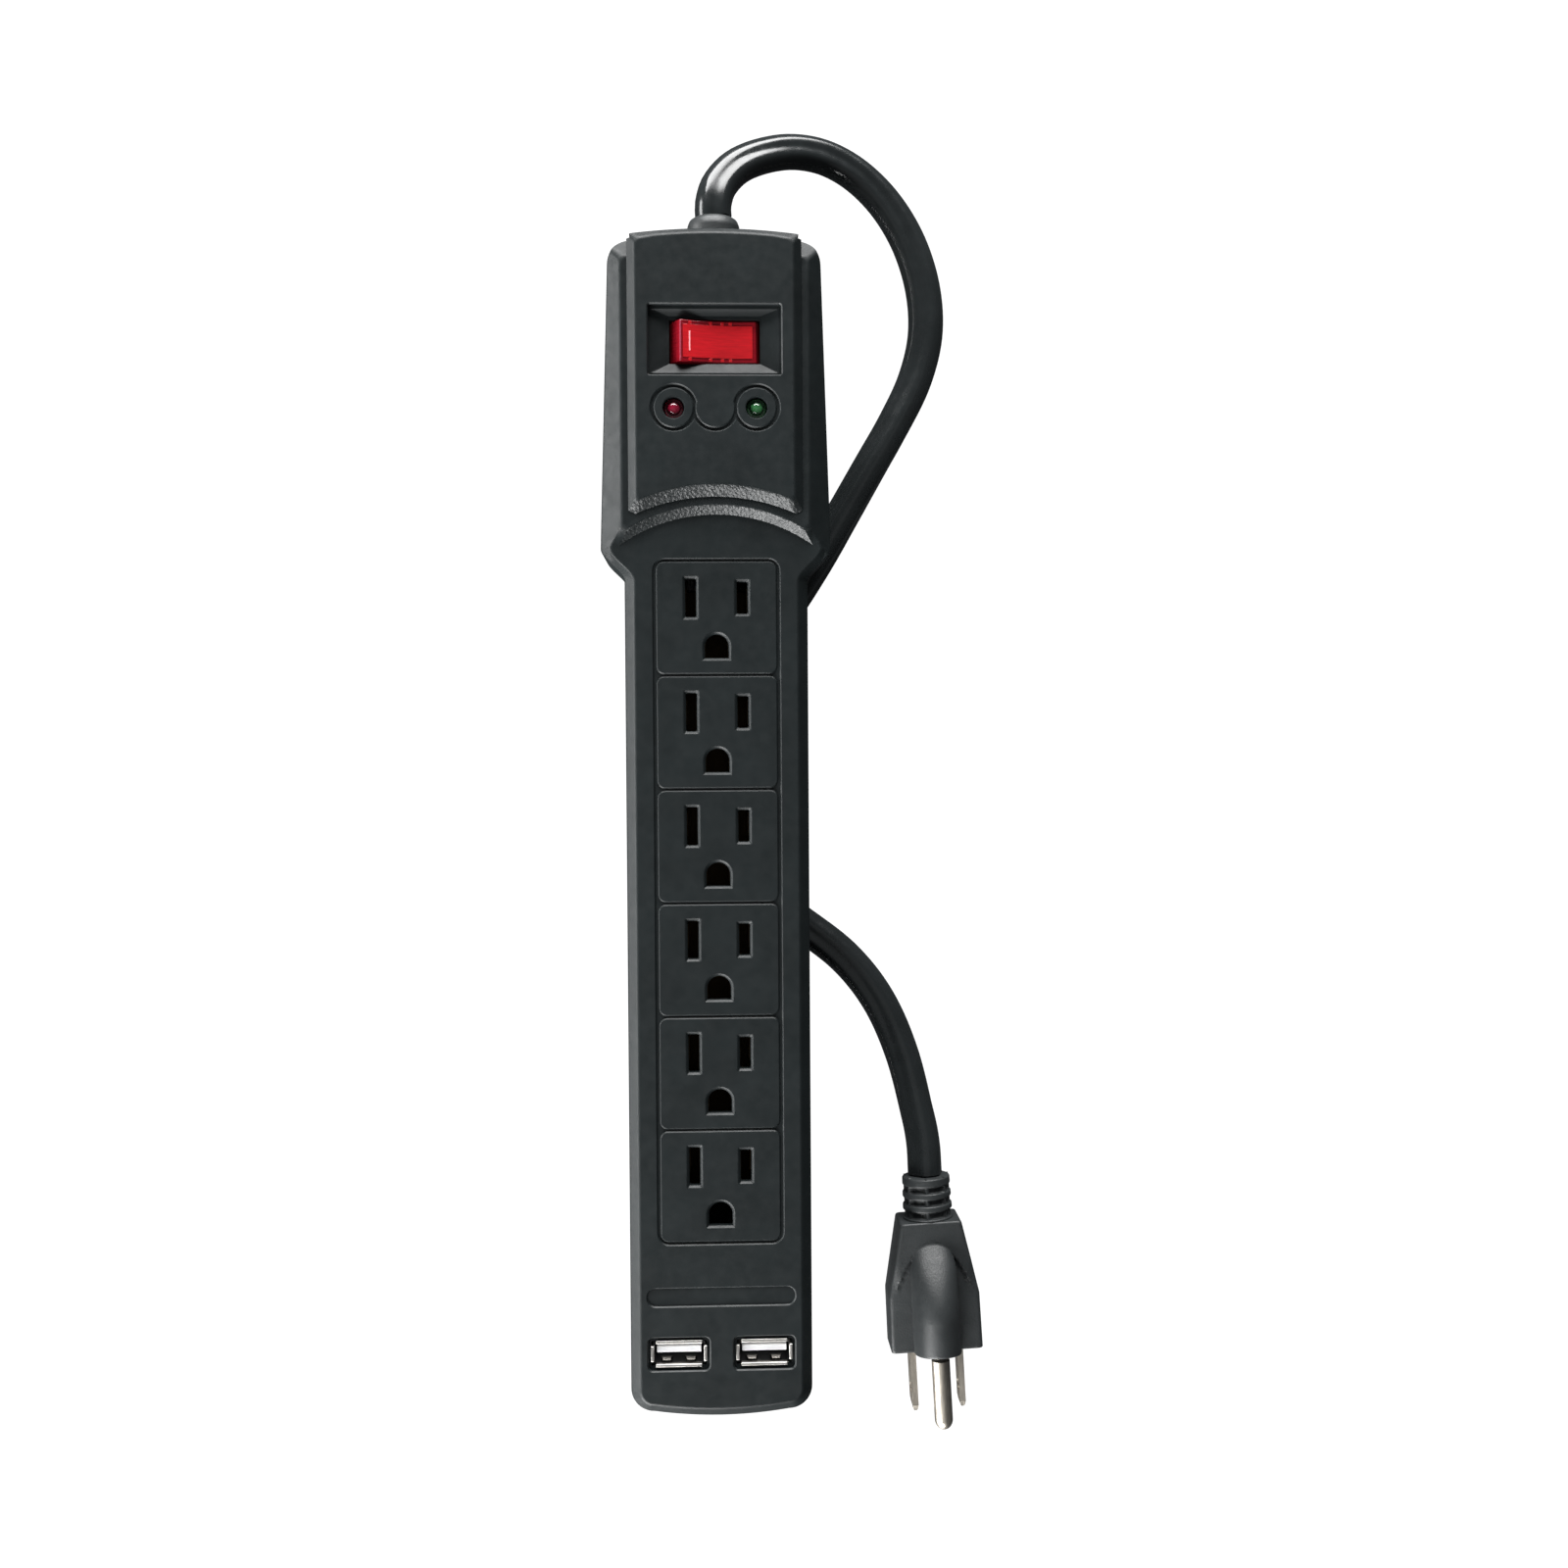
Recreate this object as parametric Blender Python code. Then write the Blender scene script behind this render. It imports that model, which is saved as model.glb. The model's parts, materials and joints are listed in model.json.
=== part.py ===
"""Six-outlet power strip with a lit breaker rocker, two indicator lamps, two USB charging ports, and a short
cord with a three-pin plug. The strip lies on its back along Y with its head end at +Y, and rests on its own
cord, which loops out of the head end, passes under the body and ends in the plug beside it.
Units are metres. The origin is the middle of the strip's own box: X across, Y along, Z up out of the face."""

import math

import bmesh
import bpy
from mathutils import Matrix, Vector

MM = 0.001
GAP = 0.3 * MM  # between pieces that touch

# Heights, measured from the middle of the strip's thickness.
PAD_Z = -17.0 * MM  # the keyhole pads, the lowest faces of the strip itself
BACK_Z = -16.2 * MM
BACK_INSIDE_Z = -14.0 * MM
SPLIT_Z = CORD_HEIGHT = -2.0 * MM  # where the two covers meet, with the cord held between them
DECK_Z = 13.0 * MM  # the socket face
LEDGE_Z = 15.0 * MM  # top of the head block, which the raised panel stands on
PANEL_Z = 17.0 * MM  # the raised panel that holds the switch

# Outline of the strip, seen from above.
HALF_LENGTH = 146.5 * MM
BODY_HALF = 22.6 * MM
HEAD_HALF_LOW = 28.4 * MM  # at the shoulder
HEAD_HALF_HIGH = 26.2 * MM  # at the head end
SHOULDER_LOW_Y = 61.0 * MM
SHOULDER_HIGH_Y = 69.3 * MM
WING_END_Y = 144.4 * MM
FOOT_CORNER = 5.8 * MM
WING_CORNER = 6.0 * MM
END_BOW = 1.3 * MM  # how far the end edges bulge
NOSE_HALF = 20.6 * MM  # the end wall under the raised panel
CHAMFER = 2.5 * MM
WALL = 2.2 * MM

# The two steps of the head, each with an arched lower edge and cut corners: (half width, half width of the arch,
# middle of the arch, far end) along the top edge, and how far each moves out per millimetre down the bevel.
LEDGE_EDGE = (22.95 * MM, 21.5 * MM, 79.5 * MM, 141.2 * MM)
LEDGE_SPREAD = (1.25, 1.12, -1.07, 1.25)
LEDGE_ARCH_RADIUS = 42.5 * MM
PANEL_EDGE = (19.3 * MM, 18.6 * MM, 84.2 * MM, 145.1 * MM)
PANEL_SPREAD = (1.0, 0.5, -1.35, 1.0)
PANEL_ARCH_RADIUS = 48.0 * MM
CUT_CORNER = 0.8 * MM  # height of the cut corners beside the arches

# Sockets.
OUTLETS = 6
OUTLET_PITCH = 28.1 * MM
FIRST_SLOTS_Y = 57.0 * MM
SLOT_X = 6.35 * MM
SLOT_WIDTH = 2.6 * MM
NEUTRAL_SLOT = 9.4 * MM
LINE_SLOT = 7.8 * MM
SLOT_FLARE = 0.65 * MM
GROUND_DROP = 11.9 * MM
GROUND_HALF = 2.9 * MM
PLATE_HALF_X = 14.6 * MM
PLATE_HALF_Y = 13.5 * MM
PLATE_DROP = 4.95 * MM  # from the blade slots to the middle of the outlet's plate
FRAME_MARGIN = 1.2 * MM
FRAME_DEPTH = 0.5 * MM

# Switch, lamps and USB ports.
SWITCH_Y = 119.3 * MM
RECESS_FLOOR_Z = 13.6 * MM
RECESS_STEP = 2.0 * MM  # height of the upright step round the recess
PIVOT_Z = 9.0 * MM
ROCKER_REACH = 11.0 * MM  # from the pivot to the rounded end faces
ROCKER_WIDTH = 10.2 * MM
ROCKER_TRAVEL = 18.0  # degrees, from OFF to ON
ARM_SHARE = -0.4  # turn of the contact arm for each turn of the rocker
ARM_PIVOT_Z = 0.4 * MM
LAMP_X = 10.1 * MM
LAMP_Y = 102.8 * MM
MOAT_INNER, MOAT_OUTER = 4.7 * MM, 5.9 * MM  # the groove round each lamp
USB_X = 10.6 * MM
USB_Y = -130.2 * MM
LABEL_Y = -116.0 * MM
KEYHOLE_YS = (99.0 * MM, -101.0 * MM)

# Posts on the back cover that carry the boards and the switch: X, Y and top, in millimetres.
RESTS = [(-17.3, 69.5, -9.9), (17.3, 69.5, -9.9), (-17.3, 94.5, -9.9), (17.3, 94.5, -9.9),
         (-4.5, 124.6, -5.3), (-4.5, 113.4, -5.3), (11.9, 119.3, -5.3),
         (-16.2, -138.0, -3.7), (16.2, -138.0, -3.7), (0.0, -123.5, -3.7)]

# Screws that hold the covers together, from the back.
SCREW_PLACES = [(side * x * MM, y * MM) for x, y in ((19.5, 134.5), (17.0, -14.1), (16.6, -116.0))
                for side in (-1, 1)]

# Cord and plug.
CORD_DIAMETER = 9.3 * MM
FLOOR_Z = BACK_Z - GAP - CORD_DIAMETER
PLUG_AXIS_Z = FLOOR_Z + 6.8 * MM
PLUG_START = Vector((54.8 * MM, -93.9 * MM, PLUG_AXIS_Z))
PLUG_YAW = math.radians(2.9)
CORD_ROUTE = [  # X, Y and Z in millimetres, from the gland to the plug
    (0.0, 153.95, -2.0), (0.0, 157.4, -2.1), (1.6, 162.6, -3.9), (6.0, 168.0, -6.8), (12.8, 172.0, -10.6),
    (20.8, 174.3, -14.4), (29.4, 173.8, -17.6), (38.0, 169.8, -19.8), (45.8, 162.4, -20.9),
    (51.8, 152.4, -21.15), (55.4, 140.6, -21.15), (56.0, 128.6, -21.15), (53.2, 116.8, -21.15),
    (47.8, 105.4, -21.15), (41.2, 94.0, -21.15), (34.0, 81.6, -21.15), (26.0, 68.0, -21.15),
    (16.6, 54.0, -21.15), (5.6, 40.4, -21.15), (-3.8, 26.4, -21.15), (-6.8, 10.8, -21.15),
    (-2.4, -5.0, -21.15), (8.6, -17.6, -21.15), (22.4, -27.0, -21.15), (34.0, -36.2, -21.15),
    (42.8, -47.6, -21.15), (49.0, -61.8, -21.0), (53.0, -77.6, -20.0), (54.38, -85.6, -19.2),
    (54.78, -93.55, -19.0),
]
CORD_POINTS = 74

COLOURS = {  # base colour, roughness, metallic
    "cover_black": ((0.030, 0.034, 0.036), 0.55, 0.0),
    "cord_black": ((0.020, 0.022, 0.023), 0.30, 0.0),
    "rocker_red": ((0.72, 0.03, 0.05), 0.25, 0.0),
    "lamp_red": ((0.45, 0.01, 0.03), 0.12, 0.0),
    "lamp_green": ((0.05, 0.30, 0.07), 0.12, 0.0),
    "nickel": ((0.78, 0.76, 0.72), 0.25, 1.0),
    "brass": ((0.78, 0.58, 0.28), 0.30, 1.0),
    "screw_steel": ((0.55, 0.55, 0.56), 0.35, 1.0),
    "board_green": ((0.02, 0.14, 0.06), 0.50, 0.0),
    "tongue_white": ((0.80, 0.81, 0.80), 0.40, 0.0),
    "housing_grey": ((0.08, 0.08, 0.085), 0.50, 0.0),
    "disc_blue": ((0.03, 0.10, 0.35), 0.40, 0.0),
    "tape_yellow": ((0.70, 0.52, 0.10), 0.40, 0.0),
    "wire_white": ((0.75, 0.75, 0.73), 0.45, 0.0),
    "wire_green": ((0.03, 0.25, 0.06), 0.45, 0.0),
    "wire_black": ((0.02, 0.02, 0.02), 0.45, 0.0),
}


# ---------------------------------------------------------------- shapes

def outlet_ys():
    return [FIRST_SLOTS_Y - OUTLET_PITCH * k for k in range(OUTLETS)]


def loft(rings):
    """A closed shape through rings of the same number of points, with a flat cap at each end."""
    points = [point for ring in rings for point in ring]
    count = len(rings[0])
    faces = [tuple(reversed(range(count))), tuple(range(len(points) - count, len(points)))]
    for level in range(len(rings) - 1):
        for k in range(count):
            a, b = level * count + k, level * count + (k + 1) % count
            faces.append((a, b, b + count, a + count))
    return points, faces


def prism(outline, low, high):
    return loft([[(x, y, z) for x, y in outline] for z in (low, high)])


def block(low, high):
    (x0, y0, z0), (x1, y1, z1) = low, high
    return prism([(x0, y0), (x1, y0), (x1, y1), (x0, y1)], z0, z1)


def centred(x, y, half_x, half_y, low, high):
    return block((x - half_x, y - half_y, low), (x + half_x, y + half_y, high))


def circle(x, y, radius, sides):
    return [(x + radius * math.cos(2 * math.pi * k / sides), y + radius * math.sin(2 * math.pi * k / sides))
            for k in range(sides)]


def rounded(x, y, half_x, half_y, radius, steps=4):
    """A rectangle with round corners, anticlockwise."""
    outline = []
    for quarter, (sx, sy) in enumerate(((1, 1), (-1, 1), (-1, -1), (1, -1))):
        for k in range(steps + 1):
            angle = math.pi / 2 * (quarter + k / steps)
            outline.append((x + sx * (half_x - radius) + radius * math.cos(angle),
                            y + sy * (half_y - radius) + radius * math.sin(angle)))
    return outline


def turned(profile, sides, place=Matrix.Identity(4)):
    """A shape turned about Z from (radius, height) pairs that run upwards."""
    rings = [[(r * math.cos(2 * math.pi * k / sides), r * math.sin(2 * math.pi * k / sides), z)
              for k in range(sides)] for r, z in profile]
    return placed(loft(rings), place)


def placed(shape, matrix):
    return [tuple(matrix @ Vector(p)) for p in shape[0]], shape[1]


def merged(shapes):
    """Shapes that don't meet, as one."""
    points, faces = [], []
    for more, their in shapes:
        faces += [tuple(len(points) + k for k in face) for face in their]
        points += more
    return points, faces


def extruded(outline, direction, low, high):
    """An outline in the plane across X or Y, as (across, z) pairs, pushed along that axis."""
    if direction == "X":
        rings = [[(s, a, z) for a, z in outline] for s in (low, high)]
    else:
        rings = [[(a, s, z) for a, z in reversed(outline)] for s in (low, high)]
    return loft(rings)


# ---------------------------------------------------------------- objects

def material(name):
    found = bpy.data.materials.get(name)
    if found:
        return found
    colour, roughness, metallic = COLOURS[name]
    made = bpy.data.materials.new(name)
    made.use_nodes = True
    shader = made.node_tree.nodes["Principled BSDF"]
    shader.inputs["Base Color"].default_value = (*colour, 1.0)
    shader.inputs["Roughness"].default_value = roughness
    shader.inputs["Metallic"].default_value = metallic
    made.diffuse_color = (*colour, 1.0)
    return made


def solid(name, shape, finish):
    """A named object with its faces turned outwards."""
    mesh = bpy.data.meshes.new(name)
    mesh.from_pydata(shape[0], [], shape[1])
    work = bmesh.new()
    work.from_mesh(mesh)
    bmesh.ops.recalc_face_normals(work, faces=work.faces)
    work.to_mesh(mesh)
    work.free()
    mesh.shade_smooth()
    mesh.set_sharp_from_angle(angle=math.radians(35))
    obj = bpy.data.objects.new(name, mesh)
    bpy.context.scene.collection.objects.link(obj)
    if finish:
        mesh.materials.append(material(finish))
    return obj


def helper(name, shape):
    obj = solid(name, shape, None)
    obj.hide_render = True
    obj.display_type = "WIRE"
    return obj


def change(obj, operation, other):
    modifier = obj.modifiers.new(operation.title(), "BOOLEAN")
    modifier.operation = operation
    modifier.object = other
    modifier.solver = "EXACT"


def cut(obj, shape):
    change(obj, "DIFFERENCE", helper(obj.name + "_cut", shape))


def fuse(obj, shape):
    change(obj, "UNION", helper(obj.name + "_add", shape))


def tube(name, route, radius, points, finish):
    """A round tube along a smooth curve through the route's points."""
    path = smooth(route, points)
    curve = bpy.data.curves.new(name, "CURVE")
    curve.dimensions = "3D"
    curve.bevel_depth = radius
    curve.bevel_resolution = 3 if radius > 2 * MM else 2
    curve.use_fill_caps = True
    spline = curve.splines.new("POLY")
    spline.points.add(len(path) - 1)
    for point, place in zip(spline.points, path):
        point.co = (*place, 1.0)
    obj = bpy.data.objects.new(name, curve)
    bpy.context.scene.collection.objects.link(obj)
    curve.materials.append(material(finish))
    return obj


def smooth(route, count):
    """Evenly spaced points on a Catmull-Rom curve through the route, with both ends cut square."""
    ends = [route[0] * 2 - route[1], *route, route[-1] * 2 - route[-2]]
    fine = []
    for k in range(1, len(ends) - 2):
        a, b, c, d = ends[k - 1:k + 3]
        for step in range(24):
            t = step / 24
            fine.append(0.5 * (2 * b + (c - a) * t + (2 * a - 5 * b + 4 * c - d) * t ** 2
                               + (3 * b - a - 3 * c + d) * t ** 3))
    fine.append(route[-1])
    lengths = [0.0]
    for a, b in zip(fine, fine[1:]):
        lengths.append(lengths[-1] + (b - a).length)
    path, k = [], 0
    for step in range(count):
        wanted = lengths[-1] * step / (count - 1)
        while k < len(fine) - 2 and lengths[k + 1] < wanted:
            k += 1
        path.append(fine[k].lerp(fine[k + 1], (wanted - lengths[k]) / (lengths[k + 1] - lengths[k])))
    first, last = (route[1] - route[0]).normalized() * MM, (route[-2] - route[-1]).normalized() * MM
    return [path[0], path[0] + first, *path[1:-1], path[-1] + last, path[-1]]


def in_mm(*route):
    return [Vector(p) * MM for p in route]


# ---------------------------------------------------------------- outline of the strip

def side_x(y):
    """Half width of the strip at y."""
    if y <= SHOULDER_LOW_Y:
        return BODY_HALF
    if y < SHOULDER_HIGH_Y:
        t = (y - SHOULDER_LOW_Y) / (SHOULDER_HIGH_Y - SHOULDER_LOW_Y)
        return BODY_HALF + (HEAD_HALF_LOW - BODY_HALF) * t * t * (3 - 2 * t)
    t = (y - SHOULDER_HIGH_Y) / (WING_END_Y - SHOULDER_HIGH_Y)
    return HEAD_HALF_LOW + (HEAD_HALF_HIGH - HEAD_HALF_LOW) * t


def end_y(x, half):
    return HALF_LENGTH - END_BOW * (x / half) ** 2


def corner(x, y, radius, start, steps):
    """A quarter circle whose middle is at x, y, from the angle start, anticlockwise."""
    return [(x + radius * math.cos(start + math.pi / 2 * k / steps),
             y + radius * math.sin(start + math.pi / 2 * k / steps)) for k in range(steps + 1)]


def foot_half(inset):
    """The right half of the outline at the USB end, from the middle to the top of its corner."""
    half = BODY_HALF - FOOT_CORNER
    radius = FOOT_CORNER - inset
    points = [(half * k / 3, -end_y(half * k / 3, half) + inset) for k in range(3)]
    return points + corner(half, -end_y(half, half) + inset + radius, radius, -math.pi / 2, 6)


def shoulder(inset):
    span = SHOULDER_HIGH_Y - SHOULDER_LOW_Y
    return [(side_x(SHOULDER_LOW_Y + span * k / 8) - inset, SHOULDER_LOW_Y + span * k / 8) for k in range(9)]


def head_half(inset):
    """The right half of the outline at the head end, from the wing's corner to the middle."""
    radius = WING_CORNER - inset / 2
    wing = corner(HEAD_HALF_HIGH - WING_CORNER - inset / 2, WING_END_Y - WING_CORNER - inset / 2, radius, 0, 5)
    wing = [(x, y) for x, y in wing if x > NOSE_HALF - inset + 0.2 * MM]
    nose = [(NOSE_HALF * k / 4 - inset * k / 4, end_y(NOSE_HALF * k / 4, NOSE_HALF) - inset)
            for k in range(4, -1, -1)]
    return [*wing, (NOSE_HALF - inset, WING_END_Y - inset), *nose]


def both_sides(right):
    """A whole outline, anticlockwise, from the right half that starts and ends on the middle line."""
    return right + [(-x, y) for x, y in reversed(right[1:-1])]


def strip_outline(inset=0.0):
    return both_sides(foot_half(inset) + shoulder(inset) + head_half(inset))


def arch(half, middle_y, radius, steps=8):
    """Points of an arc over the middle line, from +half to -half."""
    return [(x, middle_y - radius + math.sqrt(radius ** 2 - x ** 2))
            for x in (half - 2 * half * k / steps for k in range(steps + 1))]


def deck_ring(inset, z):
    """The socket deck's outline at one height. It runs on under the head block."""
    right = foot_half(inset) + shoulder(inset)
    half = 24 * MM + CHAMFER - inset
    right += [(half, 75 * MM), (half, 95 * MM)]
    return [(x, y, z) for x, y in right + [(-x, y) for x, y in reversed(right[1:])]]


def head_ring(edge, spread, radius, drop, z):
    """The outline at one height of a step of the head, drop below its top edge."""
    half, inner, arch_y, end = (e + s * drop for e, s in zip(edge, spread))
    sweep = arch(inner, arch_y, radius)
    turn = 1.6 * MM
    right = [(half, sweep[0][1] + CUT_CORNER), (half, end - END_BOW - turn),
             (half - turn * 0.3, end - END_BOW - turn * 0.3), (half - turn, end - END_BOW)]
    nose = [(half * k / 3, end - END_BOW * (k / 3) ** 2) for k in (2, 1, 0)]
    rest = right + nose
    return [(x, y, z) for x, y in list(reversed(sweep)) + rest + [(-x, y) for x, y in reversed(rest[:-1])]]


# ---------------------------------------------------------------- covers

def above_the_cover():
    """Everything that is cut away above the deck, the head block and the raised panel."""
    far, low, high = 60 * MM, 7 * MM, 25 * MM
    away = helper("above", block((-far, -170 * MM, low), (far, 170 * MM, high)))
    cut(away, loft([deck_ring(CHAMFER - (DECK_Z - low), low), deck_ring(CHAMFER, DECK_Z)]))
    drop = LEDGE_Z - low
    cut(away, loft([head_ring(LEDGE_EDGE, LEDGE_SPREAD, LEDGE_ARCH_RADIUS, drop, low),
                    head_ring(LEDGE_EDGE, LEDGE_SPREAD, LEDGE_ARCH_RADIUS, 0, LEDGE_Z)]))
    drop = PANEL_Z - LEDGE_Z
    cut(away, loft([head_ring(PANEL_EDGE, PANEL_SPREAD, PANEL_ARCH_RADIUS, drop, low - MM),
                    head_ring(PANEL_EDGE, PANEL_SPREAD, PANEL_ARCH_RADIUS, drop, LEDGE_Z),
                    head_ring(PANEL_EDGE, PANEL_SPREAD, PANEL_ARCH_RADIUS, -2 * MM, PANEL_Z + 2 * MM)]))
    return away


def flared(outline_at, flare, low, lip, top):
    """A hole that widens by flare between the heights lip and top."""
    rings = [[(x, y, z) for x, y in outline_at(grow)] for grow, z in ((0, low), (0, lip), (flare, top))]
    return loft(rings)


def ground_outline(y, grow):
    """A hole that is round towards the head and flat towards the USB end."""
    half = GROUND_HALF + grow
    return ([(-half, y - half), (half, y - half)]
            + [(half * math.cos(math.pi * k / 8), y + half * math.sin(math.pi * k / 8)) for k in range(9)])


def outlet_holes():
    shapes = []
    low, lip, top = 7 * MM, DECK_Z - SLOT_FLARE, DECK_Z + 0.1 * MM
    for y in outlet_ys():
        for side, length in ((-1, NEUTRAL_SLOT), (1, LINE_SLOT)):
            def slot(grow, side=side, length=length):
                return rounded(side * SLOT_X, y, SLOT_WIDTH / 2 + grow, length / 2 + grow, 0.4 * MM, 1)
            shapes.append(flared(slot, SLOT_FLARE, low, lip, top))

        def ground(grow):
            return ground_outline(y - GROUND_DROP, grow)
        shapes.append(flared(ground, SLOT_FLARE, low, lip, top))
    return merged(shapes)


def outlet_frames(cover):
    """The shallow channel round and between the outlet plates."""
    ys = [y - PLATE_DROP for y in outlet_ys()]
    middle, reach = (ys[0] + ys[-1]) / 2, (ys[0] - ys[-1]) / 2 + PLATE_HALF_Y + FRAME_MARGIN
    outline = rounded(0, middle, PLATE_HALF_X + FRAME_MARGIN, reach, 3 * MM)
    channel = helper("channel", prism(outline, DECK_Z - FRAME_DEPTH, DECK_Z + MM))
    cut(channel, merged([prism(rounded(0, y, PLATE_HALF_X, PLATE_HALF_Y, 2 * MM), DECK_Z - MM, DECK_Z + 2 * MM)
                         for y in ys]))
    change(cover, "DIFFERENCE", channel)


def switch_window():
    """The recess round the rocker: sloping sides with a small upright step above them."""
    step = PANEL_Z - RECESS_STEP
    return loft([[(x, y, z) for x, y in rounded(0, SWITCH_Y, half_x, half_y, 0.4 * MM, 1)]
                 for half_x, half_y, z in ((11.5 * MM, 6.3 * MM, RECESS_FLOOR_Z), (15.7 * MM, 7.8 * MM, step),
                                           (16.4 * MM, 8.7 * MM, step), (16.4 * MM, 8.7 * MM, PANEL_Z + MM))])


def lamp_holes():
    profile = [(2.8 * MM, 8.0 * MM), (2.8 * MM, 16.5 * MM), (3.3 * MM, PANEL_Z), (3.4 * MM, PANEL_Z + MM)]
    return merged([turned(profile, 20, Matrix.Translation((side * LAMP_X, LAMP_Y, 0))) for side in (-1, 1)])


def lamp_moats(cover):
    """A shallow groove round each lamp, with a half ring between that joins the two."""
    low, top = PANEL_Z - 0.6 * MM, PANEL_Z + MM
    moat = helper("moat", prism(circle(-LAMP_X, LAMP_Y, MOAT_OUTER, 24), low, top))
    fuse(moat, prism(circle(LAMP_X, LAMP_Y, MOAT_OUTER, 24), low, top))
    lower_half = [(x, y) for x, y in circle(0, LAMP_Y, MOAT_OUTER, 24) if y < LAMP_Y + 0.01 * MM]
    fuse(moat, prism(lower_half, low + 0.001 * MM, top + 0.001 * MM))
    for x in (-LAMP_X, 0, LAMP_X):
        cut(moat, prism(circle(x, LAMP_Y, MOAT_INNER, 24), low - MM, top + MM))
    change(cover, "DIFFERENCE", moat)


def usb_windows():
    shapes = []
    for side in (-1, 1):
        x = side * USB_X
        shapes.append(loft([[(a, b, z) for a, b in rounded(x, USB_Y, half_x, half_y, radius, 3)]
                            for half_x, half_y, radius, z in (
                                (6.85 * MM, 3.15 * MM, 0.3 * MM, 7 * MM),
                                (6.85 * MM, 3.15 * MM, 0.3 * MM, DECK_Z - 1.1 * MM),
                                (7.7 * MM, 4.2 * MM, 1.3 * MM, DECK_Z - 1.1 * MM),
                                (7.7 * MM, 4.2 * MM, 1.3 * MM, DECK_Z + MM))]))
    return merged(shapes)


def pockets():
    """The hollow inside the top cover, above the level where its walls turn in."""
    ceiling = 8.2 * MM
    low = ceiling - 0.1 * MM
    return [
        prism(strip_outline(WALL), SPLIT_Z - 2 * MM, ceiling),
        block((-18 * MM, -140 * MM, low), (18 * MM, 72 * MM, DECK_Z - 2.4 * MM)),
        block((-17.6 * MM, 86 * MM, low), (17.6 * MM, 109.8 * MM, PANEL_Z - 2.8 * MM)),
        block((-17.6 * MM, 129.4 * MM, low), (17.6 * MM, 141 * MM, PANEL_Z - 2.8 * MM)),
        block((-13.4 * MM, 109 * MM, low), (13.4 * MM, 129.8 * MM, RECESS_FLOOR_Z - 1.8 * MM)),
    ]


def top_cover():
    cover = solid("top_cover", prism(strip_outline(), SPLIT_Z + GAP / 2, PANEL_Z), "cover_black")
    change(cover, "DIFFERENCE", above_the_cover())
    for pocket in pockets():
        cut(cover, pocket)
    posts = [prism(circle(x, y, 3.3 * MM, 16), SPLIT_Z + GAP / 2 + 0.01 * MM, 9.4 * MM) for x, y in SCREW_PLACES]
    posts += [prism(circle(x * MM, LAMP_Y, 1.5 * MM, 12), 7.3 * MM, 15 * MM) for x in (-14.8, 0, 14.8)]
    fuse(cover, merged(posts))
    cut(cover, merged([prism(circle(x, y, 1.55 * MM, 12), SPLIT_Z - MM, 7 * MM) for x, y in SCREW_PLACES]))
    outlet_frames(cover)
    cut(cover, outlet_holes())
    cut(cover, switch_window())
    cut(cover, centred(0, SWITCH_Y, 11.1 * MM, 5.4 * MM, 8 * MM, RECESS_FLOOR_Z + 0.2 * MM))
    lamp_moats(cover)
    cut(cover, lamp_holes())
    cut(cover, usb_windows())
    cut(cover, prism(rounded(0, LABEL_Y, 18.5 * MM, 2.45 * MM, 2.4 * MM), DECK_Z - 0.35 * MM, DECK_Z + MM))
    cut(cover, gland_hole())
    return cover


def gland_hole():
    return turned([(5.2 * MM, 138 * MM), (5.2 * MM, 152 * MM)], 24, along_y(CORD_HEIGHT))


def along_y(height):
    """Turns a shape's Z axis to the strip's Y axis, on the middle line at this height."""
    return Matrix.Translation((0, 0, height)) @ Matrix.Rotation(-math.pi / 2, 4, "X")


def keyhole_cut(y):
    """A round hole for a screw head, with a narrow slot for its shank towards the head end."""
    low, high = PAD_Z - MM, BACK_INSIDE_Z + MM
    turns = [math.radians(122 + 296 * k / 11) for k in range(12)]
    outline = [(4.0 * MM * math.cos(a), y - 4 * MM + 4.0 * MM * math.sin(a)) for a in turns]
    neck = [(2.1 * MM * math.cos(math.radians(a)), y + 6 * MM + 2.1 * MM * math.sin(math.radians(a)))
            for a in range(0, 181, 30)]
    return prism(outline + neck, low, high)


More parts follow.
